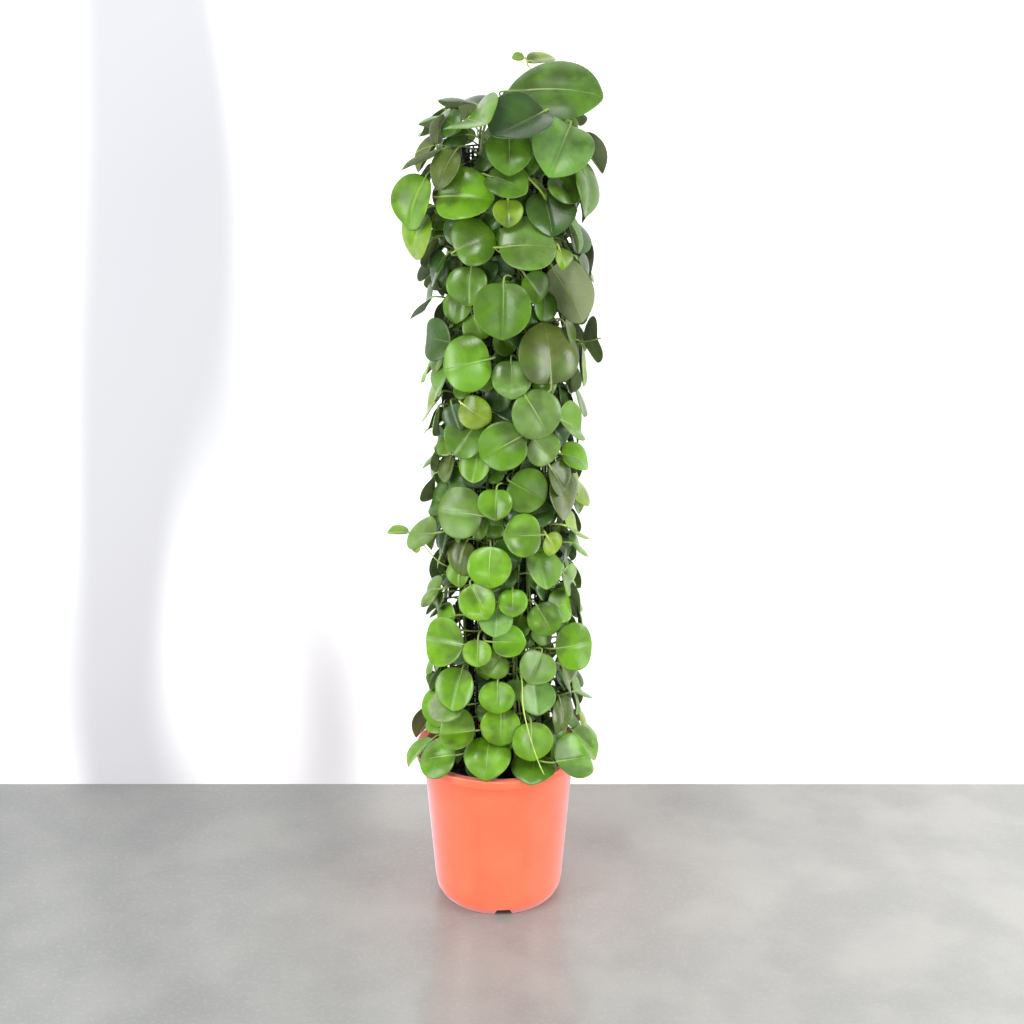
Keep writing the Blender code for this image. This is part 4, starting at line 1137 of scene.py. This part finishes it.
def fill_gaps(gaps, count, new_leaf, draw, around, placed, ways):
    """Adds a number of leaves to those placed, each where the gap is widest."""
    wanted = len(placed) + count
    while len(placed) < wanted:
        azimuth, height, clear = gaps.widest()
        found = place_leaf(new_leaf(azimuth, height, clear, draw), *around, placed, ways)
        if found:
            placed.append(found)
            gaps.cover(found.leaf)
        else:
            gaps.block(azimuth, height)


FLAT_LEAVES = {(corners, steps): flat_leaf(corners, steps) for corners in (7, 9, 11) for steps in (1, 2)}
WAYS = ways_to_bend()

# The finer blade: a grid of squares rounded to a disc, so that no point of it is a pole.
BLADE_CELLS = 6
BLADE_POINTS = (BLADE_CELLS + 1) ** 2
BLADE_LOSS = 0.985
EDGE_FROM = 0.98
EDGE_TOOTH = 0.008
MIDRIB_CREASE = 0.75
UNDERSIDE_BELOW = -0.5
EDGE_WAVE = 0.05
EDGE_WAVES = (2, 3, 3, 4)
EDGE_ROLL = 0.13
SIDE_LIFT = 0.10
LIFT_TO_TIP = 0.4
PILLOW = 0.20
LEAST_SHARE = 0.3
STALK_SIDES = 6
STALK_KNOTS = 7
RIB_KNOTS = 4
RIB_END = 0.80
RIB_THINS = 0.8
RIB_SINK = 0.35
STALK_SINK = 0.4
STALK_BOW = 0.32
STEM_STEP = 0.006
WELD = 0.00002
NODE_SPACING = 0.042
NODE_SWELL = 0.35
NODE_LENGTH = 1.8
STEM_MATERIAL = 2
STEM_COLOUR = "#7f9a4a"
OLD_STEM_COLOUR = "#8f9a5c"
SIDE_STEMS = 24
SIDE_STEM_RADIUS = 0.0015
SIDE_STEM_SEED = 5
SIDE_STEM_TOPS = (0.55, 1.08)
SIDE_STEM_OUT = (0.0580, 0.0640)
SIDE_STEM_DRIFT = (-30.0, 30.0)
SIDE_STEM_STEPS = 26
SIDE_STEM_SWAY = 4.0
SIDE_STEM_SWAYS_PER_METRE = 17.0
SIDE_STEM_WAVE = 0.0015
SIDE_STEM_WAVES_PER_METRE = 23.0
YOUNG_STEM_COLOUR = "#b4cc62"


def finish_growth(mesh, finishes, index=STEM_MATERIAL):
    """Gives a blade, stalk or stem its materials and its map, and a place for its colour."""
    for finish in finishes:
        mesh.materials.append(finish)
    for face in mesh.polygons:
        face.material_index = index
        face.use_smooth = True
    mesh.uv_layers.new(name="blade")
    mesh.attributes.new("leaf_colour", "FLOAT_COLOR", "POINT")


def model_blade(finishes):
    """The blade, modelled once at a radius of one: a grid rounded to a disc, thickened and creased along its
    midrib. Its map gives each point's place on the blade."""
    deselect()
    bpy.ops.mesh.primitive_grid_add(x_subdivisions=BLADE_CELLS, y_subdivisions=BLADE_CELLS, size=2.0)
    blade = bpy.context.object
    for corner in blade.data.vertices:
        x, y, _ = corner.co
        corner.co = (x * math.sqrt(1.0 - y * y / 2), y * math.sqrt(1.0 - x * x / 2), 0.0)
    apply_modifier(blade, "SOLIDIFY", thickness=BLADE_THICKNESS, offset=0.0, use_even_offset=False)
    crease_midrib(blade)
    finish_growth(blade.data, finishes, 0)
    for face in blade.data.polygons:
        if face.normal.z <= UNDERSIDE_BELOW:
            face.material_index = 1
    for corner, spot in zip(blade.data.loops, blade.data.uv_layers["blade"].data):
        point = blade.data.vertices[corner.vertex_index].co
        spot.uv = (0.5 + 0.5 * point.x, 0.5 + 0.5 * point.y)
    return blade


def crease_midrib(blade):
    """Creases the edges that run down the middle of the blade's two faces."""
    edit(blade)
    bpy.ops.mesh.select_mode(type="EDGE")
    bpy.ops.mesh.select_all(action="DESELECT")
    shape = bmesh.from_edit_mesh(blade.data)
    for edge in shape.edges:
        first, last = (corner.co for corner in edge.verts)
        edge.select = max(abs(first.x), abs(last.x)) < MM and abs(first.y - last.y) > MM
    bmesh.update_edit_mesh(blade.data)
    bpy.ops.transform.edge_crease(value=MIDRIB_CREASE)
    leave_edit()


def model_stalk(finishes):
    """The stalk, modelled once as a slim upright tube with a ring for each knot, its root at height 0."""
    deselect()
    bpy.ops.mesh.primitive_circle_add(vertices=STALK_SIDES, radius=1.0, fill_type="NGON")
    stalk = bpy.context.object
    edit(stalk)
    bpy.ops.mesh.select_mode(type="EDGE")
    bpy.ops.mesh.select_all(action="SELECT")
    bpy.ops.mesh.region_to_loop()
    for _ in range(STALK_KNOTS + RIB_KNOTS):
        bpy.ops.mesh.extrude_region_move(TRANSFORM_OT_translate={"value": (0.0, 0.0, 1.0)})
    bpy.ops.mesh.edge_face_add()
    bpy.ops.mesh.select_all(action="SELECT")
    bpy.ops.mesh.normals_make_consistent(inside=False)
    leave_edit()
    finish_growth(stalk.data, finishes)
    return stalk


def paint(mesh, shade, alpha):
    """Gives all points of a mesh one colour; its alpha is how strongly the midrib shows."""
    rows = np.tile(np.array([*shade[:3], alpha], dtype=np.float32), len(mesh.vertices))
    mesh.attributes["leaf_colour"].data.foreach_set("color", rows)


def copy_of(model):
    made = model.copy()
    made.data = model.data.copy()
    bpy.context.scene.collection.objects.link(made)
    return made


def tone_of(leaf, draw):
    """A leaf's colour and midrib: its tone, which partly carries painted light and shade, a little lighter or
    darker and greener or yellower.
    """
    tone = leaf.tone
    if tone == "filling":
        tone = draw.choice(TOP_TONES if draw.random() < filling_share(leaf.height) else FOOT_TONES)
    elif tone == "inner":
        tone = draw.choice(INNER_TONES)
    code, rib = TONES[tone]
    red, green, blue, _ = colour(code)
    light = USUAL_LIGHT + PEAK_LIGHTENING * math.exp(-((leaf.height - LIGHTEST_HEIGHT) / LIGHTENING_REACH) ** 2)
    light *= draw.uniform(*LIGHT_SPREAD)
    warm = draw.uniform(*WARM_SPREAD)
    cool = BLUE_SHARE + BLUE_PER_METRE * leaf.height
    shade = (red * light * warm, green * light, cool * blue * light / warm)
    return shade, rib * draw.uniform(*RIB_SPREAD)


def lay_blade(blade, leaf, draw):
    """Moves a copy of the blade to its place: outline, fold, cup and curl, with a softly waved margin."""
    middle, side, tip, normal = blade_frame(leaf)
    start = draw.uniform(0.0, 2 * math.pi)
    waves = draw.choice(EDGE_WAVES)
    size = draw.uniform(LEAST_SHARE, 1.0) * EDGE_WAVE * leaf.wide / 2
    roll = draw.uniform(0.0, 1.0) * EDGE_ROLL * leaf.wide / 2
    pillow = draw.uniform(LEAST_SHARE, 1.0) * PILLOW * leaf.wide
    lift = draw.uniform(-1.0, 1.0) * SIDE_LIFT * leaf.wide
    tooth = draw.uniform(0.0, 1.0) * EDGE_TOOTH
    for corner in blade.data.vertices:
        flat = corner.co
        out = math.hypot(flat.x, flat.y)
        angle = math.atan2(flat.x, flat.y)
        reach = BLADE_LOSS * out
        if out > EDGE_FROM:
            reach *= 1.0 + tooth * (1.0 if corner.index % BLADE_POINTS % 2 else -1.0)
        across, along = (reach * value for value in outline(leaf, angle / math.pi))
        height = rise(leaf, across, along) + flat.z
        height += size * out * out * math.sin(waves * angle + start) - roll * out ** 4
        height += lift * max(0.0, flat.x + LIFT_TO_TIP * flat.y) ** 2
        aside = min(1.0, 2.0 * abs(across) / leaf.wide)
        height += pillow * aside * (1.0 - aside) * (1.0 - flat.y * flat.y)
        corner.co = middle + side * across + tip * along + normal * height


def lay_stalk(stalk, leaf, root):
    """Moves a copy of the stalk to its place: a bow from the vine to the blade, then on as a rib under it."""
    middle, side, tip, normal = blade_frame(leaf)
    base = stalk_base(leaf)
    lead = base - tip * (STALK_BOW * (root - base).length)
    foot = outline(leaf, 1.0)[1]
    top = RIB_END * outline(leaf, 0.0)[1]
    knots = []
    for step in range(STALK_KNOTS):
        share = step / (STALK_KNOTS - 1)
        point = root * (1 - share) ** 2 + lead * (2 * share * (1 - share)) + base * share ** 2
        knots.append((point, (STALK_ROOT_WIDTH + (STALK_WIDTH - STALK_ROOT_WIDTH) * share) / 2))
    knots[-1] = (knots[-1][0] - normal * STALK_SINK * MM, knots[-1][1])
    for step in range(1, RIB_KNOTS + 2):
        share = step / (RIB_KNOTS + 1)
        along = foot + (top - foot) * share
        radius = STALK_WIDTH / 2 * (1.0 - RIB_THINS * share)
        sink = BLADE_THICKNESS / 2 + RIB_SINK * radius
        knots.append((middle + tip * along + normal * (rise(leaf, 0.0, along) - sink), radius))
    rings = []
    for place, (point, radius) in enumerate(knots):
        before = knots[max(0, place - 1)][0]
        after = knots[min(len(knots) - 1, place + 1)][0]
        turn = tip.rotation_difference(after - before)
        rings.append((point, turn @ side * radius, turn @ normal * radius))
    for corner in stalk.data.vertices:
        point, wide, thick = rings[min(round(corner.co.z), len(rings) - 1)]
        corner.co = point + wide * corner.co.x + thick * corner.co.y


def smooth_route(points, step=STEM_STEP):
    """Closely spaced points on a smooth curve through a route's points."""
    line = []
    ends = [points[0] * 2 - points[1], *points, points[-1] * 2 - points[-2]]
    for before, start, end, after in zip(ends, ends[1:], ends[2:], ends[3:]):
        count = max(1, round((end - start).length / step))
        for place in range(count):
            t = place / count
            bend = 2 * before - 5 * start + 4 * end - after
            twist = 3 * start - before - 3 * end + after
            line.append(0.5 * (2 * start + (end - before) * t + bend * t * t + twist * t ** 3))
    return line + [points[-1]]


def stem(name, route, radius, shade, finishes, end_share=1.0, nodes=0.0):
    """A round stem along a route, a little swollen at its nodes, thinning to a share of its radius."""
    curve = bpy.data.curves.new(name, "CURVE")
    curve.dimensions = "3D"
    curve.bevel_depth = radius
    curve.bevel_resolution = 1
    curve.use_fill_caps = True
    line = curve.splines.new("POLY")
    line.points.add(len(route) - 1)
    run = 0.0
    for place, (knot, point) in enumerate(zip(line.points, route)):
        if place:
            run += (point - route[place - 1]).length
        share = place / (len(route) - 1)
        from_node = abs((run / NODE_SPACING + 0.5) % 1.0 - 0.5) * NODE_SPACING
        swell = nodes * math.exp(-(from_node / (NODE_LENGTH * radius)) ** 2)
        knot.co = (*point, 1.0)
        knot.radius = (1.0 + swell) * (1.0 + (end_share - 1.0) * share)
    made = bpy.data.objects.new(name, curve)
    bpy.context.scene.collection.objects.link(made)
    deselect()
    made.select_set(True)
    bpy.context.view_layer.objects.active = made
    bpy.ops.object.convert(target="MESH")
    made = bpy.context.object
    edit(made)
    bpy.ops.mesh.select_all(action="SELECT")
    bpy.ops.mesh.remove_doubles(threshold=WELD)
    bpy.ops.mesh.normals_make_consistent(inside=False)
    leave_edit()
    made.data.materials.clear()
    while made.data.uv_layers:
        made.data.uv_layers.remove(made.data.uv_layers[0])
    finish_growth(made.data, finishes)
    paint(made.data, colour(shade), 0.0)
    return made


def side_stem_route(draw):
    """A thinner stem that winds up close outside the tube, between the vines."""
    start = SOIL_TOP - SOIL_GROOVE_DEPTH / 2
    top = draw.uniform(*SIDE_STEM_TOPS)
    azimuth = draw.uniform(0.0, 360.0)
    drift = draw.uniform(*SIDE_STEM_DRIFT)
    out = draw.uniform(*SIDE_STEM_OUT)
    points = []
    for step in range(SIDE_STEM_STEPS + 1):
        height = start + (top - start) * step / SIDE_STEM_STEPS
        sway = SIDE_STEM_SWAY * math.sin(SIDE_STEM_SWAYS_PER_METRE * height + azimuth)
        turn = azimuth + drift * step / SIDE_STEM_STEPS + sway
        ring = out + SIDE_STEM_WAVE * math.sin(SIDE_STEM_WAVES_PER_METRE * height + drift)
        points.append(at(math.radians(turn), ring, height))
    return points


def make_vines():
    """Each vine with its leaves, stalks, side stems, shoots and tendrils as one piece."""
    vines = [vine_route(index) for index in range(VINE_COUNT)]
    shoots = [shoot_route(index) for index in range(len(SHOOTS))]
    placed = place_leaves(vines, shoots)
    finishes = (leaf_face(), leaf_underside(), green_stem())
    blade_model = model_blade(finishes)
    stalk_model = model_stalk(finishes)
    draw = random.Random(SEED)
    blades = [[] for _ in vines]
    stalks = [[] for _ in vines]
    for found in placed:
        shade, rib = tone_of(found.leaf, draw)
        blade = copy_of(blade_model)
        lay_blade(blade, found.leaf, draw)
        paint(blade.data, shade, rib)
        blades[found.vine].append(blade)
        stalk = copy_of(stalk_model)
        lay_stalk(stalk, found.leaf, found.root)
        young = found.leaf.tone in ("young", "yellow")
        paint(stalk.data, colour(YOUNG_STEM_COLOUR if young else STEM_COLOUR), 0.0)
        stalks[found.vine].append(stalk)
    for model in (blade_model, stalk_model):
        bpy.data.objects.remove(model, do_unlink=True)
    draw = random.Random(SIDE_STEM_SEED)
    thin = [(vine, "_shoot", route, SHOOT_RADIUS, 0.6, 0.3) for (vine, _), route in zip(SHOOTS, shoots)]
    thin += [(vine, "_tendril", read_route(rows), TENDRIL_RADIUS, 0.5, 0.0) for vine, rows in TENDRILS]
    for index, route in enumerate(vines):
        name = f"climbing_vine_{index + 1:02d}"
        growth = join(blades[index], name + "_blades")
        apply_modifier(growth, "SUBSURF", levels=1, render_levels=1)
        stems = [stem(name, smooth_route(route), VINE_RADIUS, OLD_STEM_COLOUR, finishes, 0.7, NODE_SWELL)]
        for _ in range(SIDE_STEMS // VINE_COUNT):
            line = side_stem_route(draw)
            stems.append(stem(name + "_side", line, SIDE_STEM_RADIUS, STEM_COLOUR, finishes, 0.6, NODE_SWELL))
        for carrier, kind, points, radius, end_share, nodes in thin:
            if carrier == index:
                line = smooth_route(points)
                stems.append(stem(name + kind, line, radius, YOUNG_STEM_COLOUR, finishes, end_share, nodes))
        vine = join([*stems, growth, *stalks[index]], name)
        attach(vine, BODY)
        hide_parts(f"vine_{index + 1:02d}")


def polished_screed_with_painted_light():
    """Polished screed: a clouded mid grey, with painted light that makes it paler to the right, fine specks and a
    wet-looking shine.
    """
    made, tree, shader = new_material("polished_screed_with_painted_light", IOR=1.45)
    place = add_node(tree, "ShaderNodeTexCoord").outputs["Object"]
    right = add_node(tree, "ShaderNodeSeparateXYZ", {0: place}).outputs[0]
    # Painted light and shade: the grey runs from darker on the left to paler on the right.
    body = mix(tree, ramped(tree, right, -0.5, 0.6), colour("#91928f"), colour("#a09f9b"))
    clouds = ramped(tree, object_noise(tree, 0.16, 5.0), 0.35, 0.65)
    body = tint(tree, body, clouds, 0.30, "#6e7071")
    specks = ramped(tree, object_noise(tree, 0.006, 3.0), 0.50, 0.72)
    body = tint(tree, body, specks, 0.22, "#a9aaa8")
    tree.links.new(body, shader.inputs["Base Color"])
    tree.links.new(ramped(tree, clouds, 0.0, 1.0, 0.14, 0.24), shader.inputs["Roughness"])
    return made


def white_wall_with_painted_shade_and_light():
    """White wall paint: near white, with painted window shadows as broad soft upright stripes that are greyer and
    cooler, more of them to the left. It also has painted light: it gives off a little light of its own, though it
    is no lamp."""
    # The emission is painted light: the wall gives off a little light in its own colour, though it is no lamp.
    made, tree, shader = new_material("white_wall_with_painted_shade_and_light", Roughness=0.9, Emission_Strength=0.22)
    place = add_node(tree, "ShaderNodeTexCoord").outputs["Object"]
    drawn_out = add_node(tree, "ShaderNodeVectorMath", {0: place, 1: (1.0, 1.0, 0.2)}, operation="MULTIPLY")
    inputs = {"Vector": drawn_out.outputs[0], "Scale": 4.0, "Detail": 1.0}
    # Painted window shadows: stretched noise, with more shade to the left, makes greyer, cooler upright stripes.
    painted_window_shadows = add_node(tree, "ShaderNodeTexNoise", inputs).outputs[0]
    right = add_node(tree, "ShaderNodeSeparateXYZ", {0: place}).outputs[0]
    light = maths(tree, "ADD", painted_window_shadows, ramped(tree, right, -0.75, 0.10, -0.12, 0.18))
    body = mix(tree, ramped(tree, light, 0.34, 0.60), colour("#b3b3b7"), colour("#f6f6f7"))
    tree.links.new(body, shader.inputs["Base Color"])
    tree.links.new(body, shader.inputs["Emission Color"])
    return made


def make_stage():
    """A pale grey floor, and a white wall close behind the plant."""
    bpy.ops.mesh.primitive_plane_add(size=1.0, location=(0.0, WALL_BEHIND - FLOOR_AHEAD / 2, 0.0))
    floor = bpy.context.object
    floor.scale = (STAGE_WIDTH, FLOOR_AHEAD, 1.0)
    settle(floor, "floor", polished_screed_with_painted_light())
    bpy.ops.mesh.primitive_plane_add(size=1.0, location=(0.0, WALL_BEHIND, WALL_HEIGHT / 2),
                                     rotation=(math.radians(90.0), 0.0, 0.0))
    wall = bpy.context.object
    wall.scale = (STAGE_WIDTH, WALL_HEIGHT, 1.0)
    settle(wall, "wall", white_wall_with_painted_shade_and_light())


def soft_light(name, place, aim, size, power):
    """A large soft lamp that faces a point."""
    lamp = bpy.data.lights.new(name, "AREA")
    lamp.shape = "RECTANGLE"
    lamp.size, lamp.size_y = size
    lamp.energy = power
    made = bpy.data.objects.new(name, lamp)
    made.location = place
    made.rotation_euler = (Vector(aim) - Vector(place)).to_track_quat("-Z", "Y").to_euler()
    bpy.context.scene.collection.objects.link(made)


def make_lights():
    for lamp in LAMPS:
        soft_light(*lamp)
    sky = bpy.data.worlds.new("soft_daylight")
    sky.use_nodes = True
    background = sky.node_tree.nodes["Background"]
    background.inputs["Color"].default_value = colour(SKY_COLOUR)
    background.inputs["Strength"].default_value = SKY_STRENGTH
    bpy.context.scene.world = sky


def make_camera():
    lens = bpy.data.cameras.new("camera")
    lens.lens = CAMERA_LENS
    lens.sensor_width = CAMERA_SENSOR
    made = bpy.data.objects.new("camera", lens)
    made.location = CAMERA_PLACE
    made.rotation_euler = (math.radians(CAMERA_PITCH), 0.0, 0.0)
    bpy.context.scene.collection.objects.link(made)
    bpy.context.scene.camera = made


def main():
    deselect()
    make_camera()
    make_stage()
    make_lights()
    make_pot()
    make_soil()
    make_netting()
    make_vines()
    bpy.context.scene.view_settings.view_transform = "Standard"


main()
